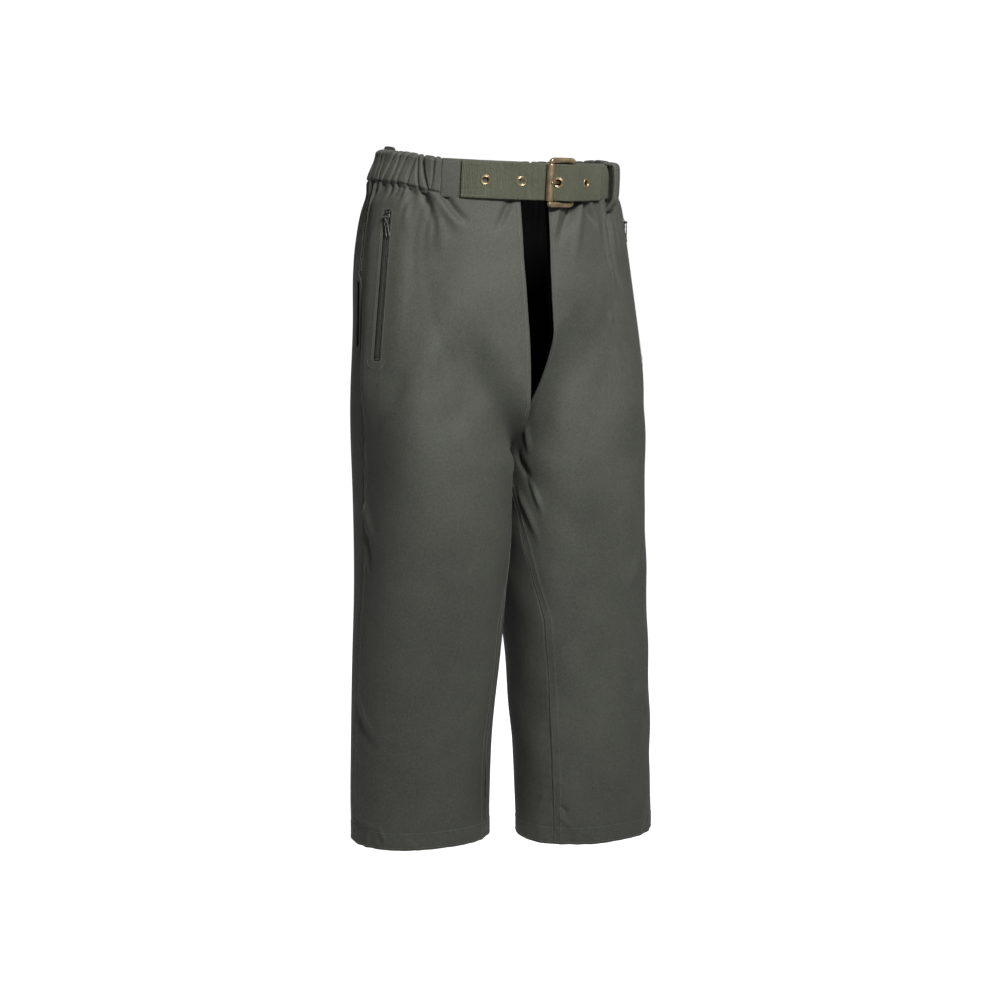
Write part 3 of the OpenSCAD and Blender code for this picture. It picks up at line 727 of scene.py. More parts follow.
def crease_relief(side, at):
    """The height of all creases at points on the +X side."""
    flat = at.reshape(-1, 3)
    total = np.zeros(len(flat))
    for route, height, width, rise, fall in CREASES[side]:
        route = resampled(softened(np.array(route, float) * (1, MM), 3), 0.004)
        line = resampled(leg_point(side, route[:, 0], route[:, 1]), 1.5 * MM)
        width = CREASE_NARROWING * width * MM
        near = np.nonzero(((flat > line.min(0) - 3 * width) & (flat < line.max(0) + 3 * width)).all(1))[0]
        if not len(near):
            continue
        distance = np.linalg.norm(flat[near, None] - line[None], axis=-1)
        k = distance.argmin(1)
        share = k / (len(line) - 1)
        taper = np.ones(len(near)) if rise == 0 else smooth(share / rise)
        taper = taper * smooth((1 - share) / fall)
        total[near] += CREASE_GAIN * height * MM * bell(distance[np.arange(len(near)), k] / width) * taper
    return total.reshape(at.shape[:-1])


# Seeded waves for each side: gathers under the casing, slow unevenness, and ripples along the hem.
WAVES = {side: {name: (random_numbers.uniform(low, high, 5), random_numbers.uniform(0, 2 * math.pi, 5),
                       random_numbers.uniform(-1, 1, 5))
                for name, low, high in (("gathers", 10, 26), ("uneven", 70, 170), ("hem", 16, 40))}
         for side in SIDES}
CASING_T = 0.219       # where the gathered casing starts, on both legs


def waves(side, name, along, down, slant):
    """A sum of waves whose lengths are in millimetres, about 1 high."""
    lengths, phases, slopes = WAVES[side][name]
    total = 0
    for length, phase, slope in zip(lengths, phases, slopes):
        total = total + np.sin(2 * math.pi * (along + slope * slant * down) / (length * MM) + phase)
    return total / 2.2


def relief(side, t, z):
    """How far the worn cloth stands out from the plain surface."""
    at = leg_point(side, t, z)
    depth = top_z(side, t) - z
    along = t * 0.5
    total = crease_relief(side, at)
    gathered = smooth((t - CASING_T + 0.02) / 0.04) * smooth((0.985 - t) / 0.03)
    total += gathered * 2.3 * MM * waves(side, "gathers", along, depth, 0.3) * np.exp(-depth / 0.032)
    total += 0.9 * MM * waves(side, "uneven", along, depth, 1.0) * smooth(depth / 0.06)
    above_hem = z - hem_z(side)
    total += 0.5 * MM * waves(side, "hem", along, depth, 0.3) * bell(above_hem / 0.022)
    total -= 0.8 * MM * bell(depth / (1.6 * MM))
    per_t = length_per_t(side, t, z)
    from_side = np.abs(t - 0.5) * per_t
    total -= 0.55 * MM * bell(from_side / (0.9 * MM))
    total += 0.35 * MM * smooth((11 * MM - from_side) / (1.5 * MM)) * (t < 0.5)
    from_inseam = np.minimum(t, 1 - t) * per_t
    sewn = smooth((CROTCH_Z * MM - z) / 0.02)
    total -= sewn * 0.6 * MM * bell(from_inseam / (0.9 * MM))
    total += sewn * 0.4 * MM * smooth((10.5 * MM - from_inseam) / (1.2 * MM)) * (t < 0.5)
    open_edge = 1 - sewn
    total -= open_edge * 0.35 * MM * bell((from_inseam - 4.4 * MM) / (0.9 * MM))
    pucker = np.sin(2 * math.pi * z / 0.0135 + 9 * t) + 0.6 * np.sin(2 * math.pi * z / 0.021)
    total += sewn * 0.16 * MM * pucker * bell((from_inseam - 6 * MM) / (9 * MM))
    total += 0.14 * MM * pucker * bell((from_side - 5 * MM) / (8 * MM))
    hem_line = above_hem - HEM_H
    total -= 0.25 * MM * bell(hem_line / (1.4 * MM))
    total += 0.3 * MM * smooth(-hem_line / (1.2 * MM))
    in_zip = (at - ZIP_AT) @ ZIP_TURN
    above = np.maximum(in_zip[..., 2] - 8 * MM, 0) / (26 * MM)
    below = np.maximum(-in_zip[..., 2] - ZIP_L - 8 * MM, 0) / (90 * MM)
    held = smooth((36 * MM - np.abs(in_zip[..., 0])) / (26 * MM)) * smooth(1 - above - below) * (t < 0.5)
    flat = 1.45 * MM + 0.35 * MM * smooth((9.5 * MM - np.abs(in_zip[..., 0])) / (1.0 * MM))
    total = total * (1 - held) + held * (flat + in_zip[..., 1])
    in_slit = (at - SLIT_AT) @ SLIT_TURN
    past = np.maximum(np.abs(in_slit[..., 2]) - SLIT_L / 2 - 8 * MM, 0)
    held = smooth((20 * MM - np.abs(in_slit[..., 1])) / (12 * MM)) * smooth(1 - past / (22 * MM))
    total = total * (1 - held) + held * (0.2 * MM - in_slit[..., 0])
    return total


def cloth_point(side, t, z, inset=0.0):
    """A point of the worn cloth, in the shared frame. inset is the depth below its outer face."""
    t, z = np.broadcast_arrays(np.asarray(t, float), np.asarray(z, float))
    drawn = leg_point(side, t, z, inset) + leg_normal(side, t, z) * relief(side, t, z)[..., None]
    return mirrored(side, drawn)


def spread_ends(count, crowd):
    """Numbers from 0 to 1 that lie closer together near both ends."""
    u = np.linspace(0, 1, count)
    return u - crowd * np.sin(2 * math.pi * u) / (2 * math.pi)


SEAM_GAP_T = 0.00015     # leaves the panels' rounded rims just touching in the seams
FINE = 1.0     # the grids' share of their full number of points


def leg_grid(side, t0, t1, top, bottom, cols, rows, inset, thickness):
    """Outer and inner points of a layer, and the plain outer points. Heights are shares from waist to hem."""
    t, s = np.meshgrid(t0 + (t1 - t0) * spread_ends(int(cols * FINE), 0.6),
                       top + (bottom - top) * spread_ends(int(rows * FINE), 0.45))
    z = top_z(side, t) * (1 - s) + hem_z(side) * s
    return cloth_point(side, t, z, inset), cloth_point(side, t, z, inset + thickness), leg_point(side, t, z, inset)


def cloth_area(grid):
    """The area of a grid of points."""
    a, b = grid[1:, 1:] - grid[:-1, :-1], grid[1:, :-1] - grid[:-1, 1:]
    return float(np.linalg.norm(np.cross(a, b), axis=-1).sum() / 2)


def declare_cut(plain):
    """Measures a cloth piece's flat width, length and area on the plain surface, and keeps none of them."""
    width = float(np.linalg.norm(np.diff(plain, axis=1), axis=-1).sum(1).max())
    length = float(np.linalg.norm(np.diff(plain, axis=0), axis=-1).sum(0).max())
    cloth_area(plain)


def at_depth(outline, y):
    """An outline in x and z as points at a depth."""
    return np.stack([outline[:, 0], np.full(len(outline), y), outline[:, 1]], -1)


def zip_cutter(side):
    """Cuts the zip's window, with round ends, narrower than the tapes so that the cloth covers them."""
    outline = rounded_section(8.6 * MM, ZIP_L + 7 * MM, 2.5 * MM, 5) - (0, ZIP_L / 2)
    return tool_from(from_zip(side, [at_depth(outline, y) for y in (-12 * MM, 4.2 * MM)]))


def slit_cutter(side):
    """Cuts the hand slit, narrower than its welt."""
    outline = rounded_section(9 * MM, SLIT_L + 3 * MM, 3 * MM, 5)
    return tool_from(from_slit(side, [np.stack([np.full(len(outline), x), outline[:, 0], outline[:, 1]], -1)
                                      for x in (-20 * MM, 15 * MM)]))


SHELL_T = 1.2 * MM
LINING_T = 0.8 * MM
FACING_INSET = 1.6 * MM
BACK_LINING_INSET = 2.8 * MM
PAD_INSET = 2.6 * MM
FRONT_LINING_INSET = 9 * MM


def share_at(side, z):
    """The share of the way from the waist to the hem at a height, on the side seam."""
    top = float(top_z(side, 0.5))
    return (z - top) / (hem_z(side) - top)


EDGE_T = 0.04             # the width in t of the facings behind the open edges
FACING_SHARE = 8 / 18     # their length, of the lining's


def add_leg(side):
    """One leg's panels, linings and facings."""
    word = SIDES[side]
    bottom = share_at(side, hem_z(side) + HEM_H)
    for part, t0, t1 in (("front", SEAM_GAP_T, 0.5 - SEAM_GAP_T), ("back", 0.5 + SEAM_GAP_T, 1 - SEAM_GAP_T)):
        outer, inner, plain = leg_grid(side, t0, t1, 0, 1, 112, 250, 0, SHELL_T)
        node = f"{part}_panel_{word}"
        made = add_shell(Piece(), outer, inner).make(f"{part}_panel_cloth_{word}", "outer_fabric", nodes=[node])
        cut_away(made, [slit_cutter(side)] + ([zip_cutter(side)] if part == "front" else []))
        declare_cut(plain)
        inset = FRONT_LINING_INSET if part == "front" else BACK_LINING_INSET
        outer, inner, plain = leg_grid(side, t0, t1, 0, bottom, 112, 150, inset, LINING_T)
        lining = add_shell(Piece(), outer, inner).make(f"{part}_lining_cloth_{word}", "lining",
                                                       nodes=[f"{part}_lining_{word}"])
        cut_away(lining, [slit_cutter(side)])
        declare_cut(plain)
    for name, part, t0, t1 in (("opening_facing", "front", SEAM_GAP_T, EDGE_T),
                               ("seat_facing", "back", 1 - EDGE_T, 1 - SEAM_GAP_T)):
        outer, inner, plain = leg_grid(side, t0, t1, 0, FACING_SHARE * bottom, 22, 110, FACING_INSET, LINING_T)
        made = add_shell(Piece(), outer, inner).make(f"{name}_cloth_{word}", "outer_fabric",
                                                     nodes=[f"{name}_{word}"])
        declare_cut(plain)
    outer, inner, plain = leg_grid(side, SEAM_GAP_T, 1 - SEAM_GAP_T, bottom, 1, 220, 14, FACING_INSET, LINING_T)
    made = add_shell(Piece(), outer, inner).make(f"hem_facing_cloth_{word}", "outer_fabric",
                                                 nodes=[f"hem_facing_{word}"])
    declare_cut(plain)


def shares(grid):
    """How far each point of a grid lies across it and down it, from 0 to 1."""
    rows, cols = grid.shape[:2]
    return np.meshgrid(np.linspace(0, 1, cols), np.linspace(0, 1, rows))


def filled_shell(outer, inner, full):
    """A closed piece that fills a share of the space between two grids of points."""
    middle, half = (outer + inner) / 2, (outer - inner) / 2
    return add_shell(Piece(), middle + half * full[..., None], middle - half * full[..., None])


def add_pad(side):
    """The protective pad: layered fibre, quilted in slanting channels, thin at its edges."""
    word = SIDES[side]
    outer, inner, _ = leg_grid(side, 0.044, 0.404, 0.325, 0.915, 70, 130, PAD_INSET, 5 * MM)
    u, v = shares(outer)
    channel = np.abs(np.sin(math.pi * (5 * u + 1.5 * v))) ** 0.6
    edge = np.minimum(np.minimum(u, 1 - u) * 12, np.minimum(v, 1 - v) * 24)
    full = (0.45 + 0.55 * channel) * (0.3 + 0.7 * smooth(edge))
    made = filled_shell(outer, inner, full).make(f"protective_pad_fill_{word}", "pad_fill",
                                                 nodes=[f"protective_pad_{word}"])


def add_pocket_bag(side):
    """The pocket's bag: a flat pouch behind the zip, slack towards its bottom."""
    word = SIDES[side]
    outer, inner, plain = leg_grid(side, 0.272, 0.4985, 0.0, 0.272, 50, 70, 5.4 * MM, 2 * MM)
    u, v = shares(outer)
    slack = 0.55 + 0.45 * np.sin(math.pi * u) * np.sin(math.pi * v) + 0.08 * np.sin(9 * u + 7 * v)
    made = filled_shell(outer, inner, slack).make(f"pocket_bag_cloth_{word}", "lining", nodes=[f"pocket_bag_{word}"])
    declare_cut(plain)


def surface_line(side, ts, zs):
    """Points just above the worn cloth along a line on it, and their normals."""
    ts, zs = np.broadcast_arrays(np.asarray(ts, float), np.asarray(zs, float))
    normals = mirrored(side, leg_normal(side, ts, zs))
    return cloth_point(side, ts, zs) + normals * 0.1 * MM, normals


def offset_line(side, t_edge, into, offset, z0, z1):
    """A line that runs down beside an edge or seam, at an even distance from it."""
    zs = np.linspace(z0, z1, max(2, int(abs(z1 - z0) / (4 * MM))))
    ts = t_edge + into * offset / length_per_t(side, np.full(len(zs), t_edge), zs)
    return surface_line(side, ts, zs)


SEAM_ROWS = (2.0 * MM, 9.0 * MM)     # the stitch rows' distances from a seam
EDGE_ROW, EDGE_ROW_END = 3.6 * MM, -0.303


def add_leg_stitching(side):
    """All topstitching of one leg."""
    word = SIDES[side]
    hem = hem_z(side)
    past_slit = SLIT_L / 2 + 9 * MM
    seams = Piece()
    for offset in SEAM_ROWS:
        for z0, z1 in ((float(top_z(side, 0.5)) - 3 * MM, SLIT_AT[2] + past_slit),
                       (SLIT_AT[2] - past_slit, hem + 1 * MM)):
            add_stitches(seams, *offset_line(side, 0.5, -1, offset, z0, z1))
        add_stitches(seams, *offset_line(side, 0.0, 1, offset, CROTCH_Z * MM - 0.012, hem + 1 * MM))
    seams.make(f"seam_stitching_{word}", "outer_fabric", "thread")
    edges = Piece()
    for edge_at, into in ((0.0, 1), (1.0, -1)):
        top = float(top_z(side, edge_at)) - 2 * MM
        add_stitches(edges, *offset_line(side, edge_at, into, EDGE_ROW, top, EDGE_ROW_END))
    edges.make(f"edge_stitching_{word}", "outer_fabric", "thread")
    hems = Piece()
    ts = np.linspace(0.004, 0.996, 240)
    for z in (hem + HEM_H - 1.0 * MM, hem + 2.2 * MM):
        add_stitches(hems, *surface_line(side, ts, np.full(len(ts), z)))
    hems.make(f"hem_stitching_{word}", "outer_fabric", "thread")


# ---------------------------------------------------------------- the waist

WAIST_A, WAIST_B, WAIST_Y = 145 * MM, 105 * MM, 4 * MM
BAND_T = 3 * MM
CASING_DEPTH = 6 * MM
CASING_START = 47      # degrees either side of the front's middle line where the gathered casing starts
CASING_GAP = 0.2       # degrees between the casing and the waistband's fronts
CASING_ROW = -16.5 * MM
FRONT_ROW = 17.5 * MM
MEAN_R = 0.125         # of the waist, from degrees to metres along it
BUCKLE_ANGLE = -78


def run(line):
    """The length of a polyline."""
    return float(lengths_along(line)[-1])


def front_edge_angle(side):
    """The angle round the waist of a leg's front edge."""
    return -math.degrees(math.acos(side * FRONT_GAP[side][0] * MM / WAIST_A))


def waist_normal(angle):
    """The outward plan direction at an angle round the waist."""
    a = np.radians(angle)
    return unit(np.stack([WAIST_B * np.cos(a), WAIST_A * np.sin(a)], -1))


def waist_plan(angle, out):
    """A plan point at an angle round the waistband, out from its outer face."""
    a = np.radians(np.asarray(angle, float))
    middle = np.stack([WAIST_A * np.cos(a), WAIST_Y + WAIST_B * np.sin(a)], -1)
    return middle + waist_normal(angle) * np.asarray(out, float)[..., None]


BUCKLE_N = waist_normal(BUCKLE_ANGLE)
BUCKLE_U = np.array([-BUCKLE_N[1], BUCKLE_N[0]])


def buckle_plan(u, n):
    """A plan point in the buckle's frame, in millimetres: u to the wearer's left, n outwards."""
    u, n = np.asarray(u, float) * MM, np.asarray(n, float) * MM
    return waist_plan(BUCKLE_ANGLE, 0.0) + u[..., None] * BUCKLE_U + n[..., None] * BUCKLE_N


def tilted(points):
    """Points turned with the waist, which is higher at the back."""
    return np.asarray(points, float) @ turned(0, math.degrees(WAIST_TILT)).T


def tilted_plan(vectors):
    """Plan vectors, tilted with the waist."""
    vectors = np.asarray(vectors, float)
    return tilted(np.concatenate([vectors, 0 * vectors[..., :1]], -1))


def risen(plan, height):
    """Plan points with a height over the waistband's middle, in the shared frame."""
    plan, height = np.asarray(plan, float), np.asarray(height, float)
    shape = np.broadcast_shapes(plan.shape[:-1], height.shape)
    plan = np.broadcast_to(plan, shape + (2,))
    height = np.broadcast_to(height, shape) - back_sag(plan[..., 1])
    return tilted(np.concatenate([plan, height[..., None]], -1))


def band_rings(angles, out, height):
    """Rings of a band: out and height are arrays of angles x section points."""
    return risen(waist_plan(angles[:, None], out), height)


def add_front_band(side, a0, a1):
    """A flat waistband front: two plies of cloth turned over at top and bottom."""
    word = SIDES[side]
    section = rounded_section(BAND_H, BAND_T, 1.3 * MM, 5, 0.12 * MM)
    angles = np.linspace(a0, a1, 120)
    height = section[None, :, 0] + np.zeros((len(angles), 1))
    dent = -0.22 * MM * bell((np.abs(height) - FRONT_ROW) / (0.9 * MM)) * (section[None, :, 1] > 0)
    out = -BAND_T / 2 + section[None, :, 1] + dent
    made = add_tube(Piece(), band_rings(angles, out, height)).make(
        f"waistband_cloth_{word}", "outer_fabric", "band_fabric", [f"waistband_front_{word}"])
    length = run(waist_plan(angles, np.zeros(len(angles))))
    rows = Piece()
    for height in (FRONT_ROW, -FRONT_ROW):
        line = risen(waist_plan(angles, np.full(len(angles), 0.02 * MM)), height)
        add_stitches(rows, line, tilted_plan(waist_normal(angles)))
    rows.make(f"waistband_stitching_{word}", "outer_fabric", "thread")


# The gathers that are listed one by one: an angle, how far the fold leans in degrees from bottom to top, its
# depth and its width in millimetres.
PLACED_GATHERS = [
    (-166, 5.0, 2.9, 1.6), (-160.5, 4.5, 3.6, 1.5), (-155.5, 4.0, 3.8, 1.4), (-149.5, 5.0, 4.0, 1.5),
    (-145, -3.0, 2.6, 1.4), (-141, -4.5, 4.2, 1.5), (-137.5, 2.5, 2.4, 1.4), (-134, 0.5, 3.4, 1.2),
]
STRAP_ZONE = (-49, -22)         # the strap and the belt loop press the casing flat here
PUFF = 3.2 * MM                 # how far the cloth stands out between the folds


def gather_list():
    """Placed gathers on the right, and seeded ones round the back."""
    gathers = [(a, lean, depth * MM, width * MM) for a, lean, depth, width in PLACED_GATHERS]
    angle = -45.0
    while angle < 191:
        gathers.append((angle, random_numbers.uniform(-5, 5), random_numbers.uniform(2.2, 4.2) * MM,
                        random_numbers.uniform(1.3, 2.1) * MM))
        angle += random_numbers.uniform(3.2, 6.0)
    return gathers


def casing_lean(angle, height):
    """How far the waist stands in towards its top: from 120 to -131 degrees and from -46 to 60."""
    turned = np.mod(np.asarray(angle, float) + 180, 360) - 180
    at_right = smooth((-131 - turned) / 26) + smooth((turned - 120) / 40)
    at_left = smooth((turned + 46) / 20) * smooth((60 - turned) / 40)
    return np.clip(at_right + at_left, 0, 1) * (2 * MM - 9.5 * MM * smooth(0.5 + height / BAND_H))


def casing_lift(angle, height):
    """How far the gathers draw the casing up at the wearer's right hip, most at its bottom."""
    return hip_lift(np.mod(np.asarray(angle, float), 360)) * (0.4 + 0.6 * smooth(0.5 - height / BAND_H))


def casing_rings(angles, section):
    """Rings of a layer of the casing that leans and lifts with it."""
    height = section[None, :, 0] + 0 * angles[:, None]
    out = -CASING_DEPTH / 2 + section[None, :, 1] + casing_lean(angles[:, None], height)
    return band_rings(angles, out, height + casing_lift(angles[:, None], height))


def add_elastic_casing():
    """The casing, gathered by the elastic inside it: deep folds, puffs between them, a ruffled top edge."""
    angles = np.linspace(-CASING_START, 180 + CASING_START, int(900 * FINE))
    section = resampled_section(BAND_H, CASING_DEPTH, 2.6 * MM, 1.1 * MM)
    outer_side = smooth((section[:, 1] / CASING_DEPTH + 0.1) / 0.35)[None, :]
    height = section[None, :, 0] + np.zeros((len(angles), 1))
    share = height / BAND_H
    arc = np.radians(angles)[:, None] * MEAN_R
    fold = np.zeros_like(height)
    for angle, lean, depth, width in gather_list():
        centre = math.radians(angle if angle > -90 else angle + 360) * MEAN_R
        drift = np.radians(lean) * MEAN_R * share + 1.1 * MM * np.sin(4.5 * share + 3 * angle)
        reach = 0.55 + 0.45 * np.cos(2.4 * (share - 0.45 * math.sin(2 * angle)))
        fold = np.maximum(fold, depth * reach * bell((arc - centre - drift) / width))
    pressed = smooth((angles[:, None] - STRAP_ZONE[1]) / 8)
    end = smooth((angles[:, None] + CASING_START) / 2) * smooth((180 + CASING_START - angles[:, None]) / 2)
    near_seam = smooth((height + 20 * MM) / (7 * MM)) * smooth((21.5 * MM - height) / (4 * MM))
    puff = (PUFF * near_seam - np.minimum(1.15 * fold, 4.1 * MM * near_seam + 0.6 * MM)) * pressed * end
    seam = bell((height - CASING_ROW) / (1.1 * MM))
    out = -CASING_DEPTH / 2 + section[None, :, 1] + outer_side * (puff - 0.9 * MM * seam)
    out += casing_lean(angles[:, None], height)
    top = smooth((height - 13 * MM) / (7 * MM))
    bottom = smooth((-height - 17 * MM) / (3 * MM))
    ruffle = (-0.55 * fold * top + 0.9 * MM * top + 0.3 * fold * bottom) * pressed
    rings = band_rings(angles, out, height + ruffle + casing_lift(angles[:, None], height))
    plain = run(waist_plan(angles, np.zeros(len(angles))))
    cloth = np.stack(np.meshgrid(np.linspace(0, 1.5 * plain, len(angles)),
                                 np.linspace(0, 2 * BAND_H, section.shape[0]), indexing="ij"), -1)
    piece = add_tube(Piece(), rings, cloth=cloth)
    cavity = rounded_section(BAND_H - 6 * MM, CASING_DEPTH - 2.4 * MM, 1.6 * MM, 4)
    inside = np.linspace(-CASING_START + 1, 179 + CASING_START, 200)
    add_tube(piece, casing_rings(inside, cavity)[::-1])
    made = piece.make("elastic_casing_cloth", "outer_fabric", "band_fabric", ["elastic_casing"])
    line_angles = np.linspace(-20, 180 + CASING_START - 1, 700)
    k = int(np.abs(np.where(section[:, 1] > 0, section[:, 0], 1) - CASING_ROW).argmin())
    line = np.stack([np.interp(line_angles, angles, rings[:, k, axis]) for axis in range(3)], -1)
    normals = tilted_plan(waist_normal(line_angles))
    row = add_stitches(Piece(), line + normals * 0.1 * MM, normals)
    row.make("casing_stitching", "outer_fabric", "thread")


def add_elastic_band():
    """The elastic inside the casing, with ribs along it."""
    section = rounded_section(BAND_H - 8.4 * MM, 2.6 * MM, 1.0 * MM, 3)
    ribs = 0.12 * MM * np.sin(section[:, 0] / MM * 2 * math.pi / 2.6) * np.sign(section[:, 1])
    angles = np.linspace(-CASING_START + 1.5, 178.5 + CASING_START, 160)
    rings = casing_rings(angles, section + np.stack([0 * ribs, ribs], -1))
    made = add_tube(Piece(), rings).make("elastic_band_weave", "elastic", nodes=["elastic_band"])
    length = run(waist_plan(angles, np.zeros(len(angles))))


def strip_rings(plan, section):
    """Rings of an upright strip along a plan path: section x is the height, y the thickness."""
    return risen(plan[:, None] + path_normal(plan)[:, None] * section[None, :, 1:2],
                 section[None, :, 0] + 0 * plan[:, :1])


BELT_START = [(-123.5, 1.4), (-119, 1.8), (-115.2, 2), (-109.8, 2), (-104.5, 2.2), (-99.4, 2.4), (-94, 2.4)]
BELT_MIDDLE = [(-22, 1.7), (-16, 1.7), (-13, 2.5), (-10.7, 3.9), (-0.3, 11), (5, 12), (12, 11.6), (20, 9.8),
               (27.5, 6.2), (40.5, 1.2)]
BELT_END = [(-57.5, 4), (-54.5, 3.6), (-51.5, 3.5)]
BELT_LINE = np.concatenate([
    waist_plan([a for a, _ in BELT_START], [r * MM for _, r in BELT_START]),
    buckle_plan([u for u, _ in BELT_MIDDLE], [n for _, n in BELT_MIDDLE]),
    waist_plan([a for a, _ in BELT_END], [r * MM for _, r in BELT_END])])
EYELET_STRETCHES = [2, 5, 10, 15]


def eyelet_places():
    """The centre, the direction along the belt and the outward direction of each eyelet."""
    for i in EYELET_STRETCHES:
        a, b = BELT_LINE[i], BELT_LINE[i + 1]
        along = unit(b - a)
        out = np.array([along[1], -along[0]])
        yield tuple(tilted_plan(v) for v in ((a + b) / 2, along, out))


def add_belt():
    """Ribbed webbing with thick selvedges, sewn down at its start and punched for the eyelets."""
    plan = resampled(softened(BELT_LINE, 4), 0.9 * MM)
    section = resampled_section(40 * MM, 2 * MM, 0.9 * MM, 1.0 * MM)
    heights = np.abs(section[:, 0])
    selvedge = 0.10 * MM * smooth((heights - 17 * MM) / (1.5 * MM)) * np.sign(section[:, 1])
    section = section + np.stack([0 * selvedge, selvedge], -1)
    made = add_tube(Piece(), strip_rings(plan, section)).make("belt_weave", "webbing", nodes=["belt_webbing"])
    upright = tilted([0, 0, 1.0])
    tools = []
    for centre, along, out in eyelet_places():
        turn = np.linspace(0, 2 * math.pi, 32, endpoint=False)
        circle = 4.25 * MM * (np.cos(turn)[:, None] * along + np.sin(turn)[:, None] * upright)
        tools.append(tool_from(np.array([centre + circle + out * d for d in (-4 * MM, 4 * MM)])))
    cut_away(made, tools)
    run(plan)
    stitches = Piece()
    sewn = plan[:34]
    out = path_normal(sewn)
    face, normals = sewn + out * 1.02 * MM, tilted_plan(out)
    row = 17.2 * MM
    for height in (row, -row):
        add_stitches(stitches, risen(face, height), normals)
    heights = np.linspace(-row, row, 40)
    for k in (3, 30):
        add_stitches(stitches, risen(face[k], heights), np.tile(normals[k], (40, 1)))
    stitches.make("belt_stitching", "webbing", "thread")


def lathe(profile, centre, along, out, up, count=48):
    """A body of revolution: the profile's x is the radius and y the distance along out."""
    turn = np.linspace(0, 2 * math.pi, count, endpoint=False)
    around = np.cos(turn)[:, None] * along + np.sin(turn)[:, None] * up
    return np.array([centre + around * r + out * d for r, d in profile])


def add_eyelets():
    """Rolled brass eyelets and the washers behind them."""
    up = tilted([0, 0, 1.0])
    rolled = [(4.2, -1.62), (4.2, 1.0)] + [
        (4.9 + 0.72 * math.cos(a), 1.05 + 0.72 * math.sin(a)) for a in np.linspace(0, math.pi, 9)] + [
        (3.85 - 0.62 * math.sin(a), 0.9 + 0.6 * math.cos(a)) for a in np.linspace(0, math.pi / 2, 5)] + [
        (3.23, -1.2), (3.35, -1.62)]
    flat = [(4.25, -1.62)] + [(5.35 + 0.25 * math.cos(a), -1.32 + 0.3 * math.sin(a))
                              for a in np.linspace(-math.pi / 2, math.pi / 2, 7)] + [(4.25, -1.02)]
    rims, washers = Piece(), Piece()
    for centre, along, out in eyelet_places():
        add_tube(rims, lathe([(r * MM, d * MM) for r, d in rolled], centre, along, out, up), closed=True)
        add_tube(washers, lathe([(r * MM, d * MM) for r, d in flat], centre, along, out, up), closed=True)
    rims.make("eyelets_rolled", "brass", nodes=["belt_eyelets"])
    washers.make("eyelet_washers_rolled", "brass", nodes=["eyelet_washers"])


HINGE_BAR = (16, 4.5)
END_BAR = (-16, 7.2)
STRAP_T = 1.6


def add_buckle_strap():
    """The short strap: sewn to the left front, folded round the hinge bar and back over itself."""
    fold_r = 1.9 + 0.3 + STRAP_T / 2
    turns = np.arange(-90, -271, -15)
    line = np.concatenate([
        waist_plan(np.arange(-26, -67, -5), np.full(9, (0.3 + STRAP_T / 2) * MM)),
        buckle_plan([22, 18], [0.4, 1.4]),
        buckle_plan(HINGE_BAR[0] + fold_r * np.cos(np.radians(turns)),
                    HINGE_BAR[1] + fold_r * np.sin(np.radians(turns))),
        buckle_plan([19, 24, 29, 34], [6.6, 3.2, 1.0, 0.2])])
    plan = resampled(softened(line, 2), 0.8 * MM)
    section = resampled_section(38 * MM, STRAP_T * MM, 0.7 * MM, 1.2 * MM)
    made = add_tube(Piece(), strip_rings(plan, section)).make("buckle_strap_weave", "webbing", nodes=["buckle_strap"])
    middle = buckle_plan(HINGE_BAR[0] - 1, HINGE_BAR[1])
    outline = rounded_section(12 * MM, 6 * MM, 2 * MM, 4)
    rings = [risen(middle + outline[:, :1] * BUCKLE_U + d * BUCKLE_N, outline[:, 1]) for d in (-8 * MM, 8 * MM)]
    cut_away(made, [tool_from(np.array(rings))])
    run(plan)


def add_buckle_frame(end, hinge):
    """A cast frame with round bars and flattened arms."""
    across = unit(hinge - end)
    normal = np.array([across[1], -across[0]])
    half_u, half_w, corner = float(np.linalg.norm(hinge - end)) / 2, 24 * MM, 4.2 * MM
    route = resampled_loop(rounded_section(2 * half_u, 2 * half_w, corner, 9), 0.8 * MM)
    arm = smooth((np.abs(route[:, 1]) - (half_w - 4.5 * MM)) / (3 * MM))
    turn = np.linspace(0, 2 * math.pi, 20, endpoint=False)
    bar_r = np.where(route[:, 0] < 0, 1.75, 1.88) * MM
    wide = bar_r * (1 - arm) + 3.0 * MM * arm
    thick = bar_r * (1 - arm) + 2.6 * MM * arm
    square = 1 - 0.35 * arm[:, None]
    c, s = np.cos(turn)[None], np.sin(turn)[None]
    offset_w = wide[:, None] * np.sign(c) * np.abs(c) ** square
    offset_n = thick[:, None] * np.sign(s) * np.abs(s) ** square
    flat = route[:, None] + path_normal(route, True)[:, None] * offset_w[..., None]
    plan = (end + hinge) / 2 + flat[..., :1] * across + offset_n[..., None] * normal
    rings = risen(plan, flat[..., 1])
    add_tube(Piece(), rings, closed=True).make("buckle_casting", "brass", nodes=["buckle_frame"])


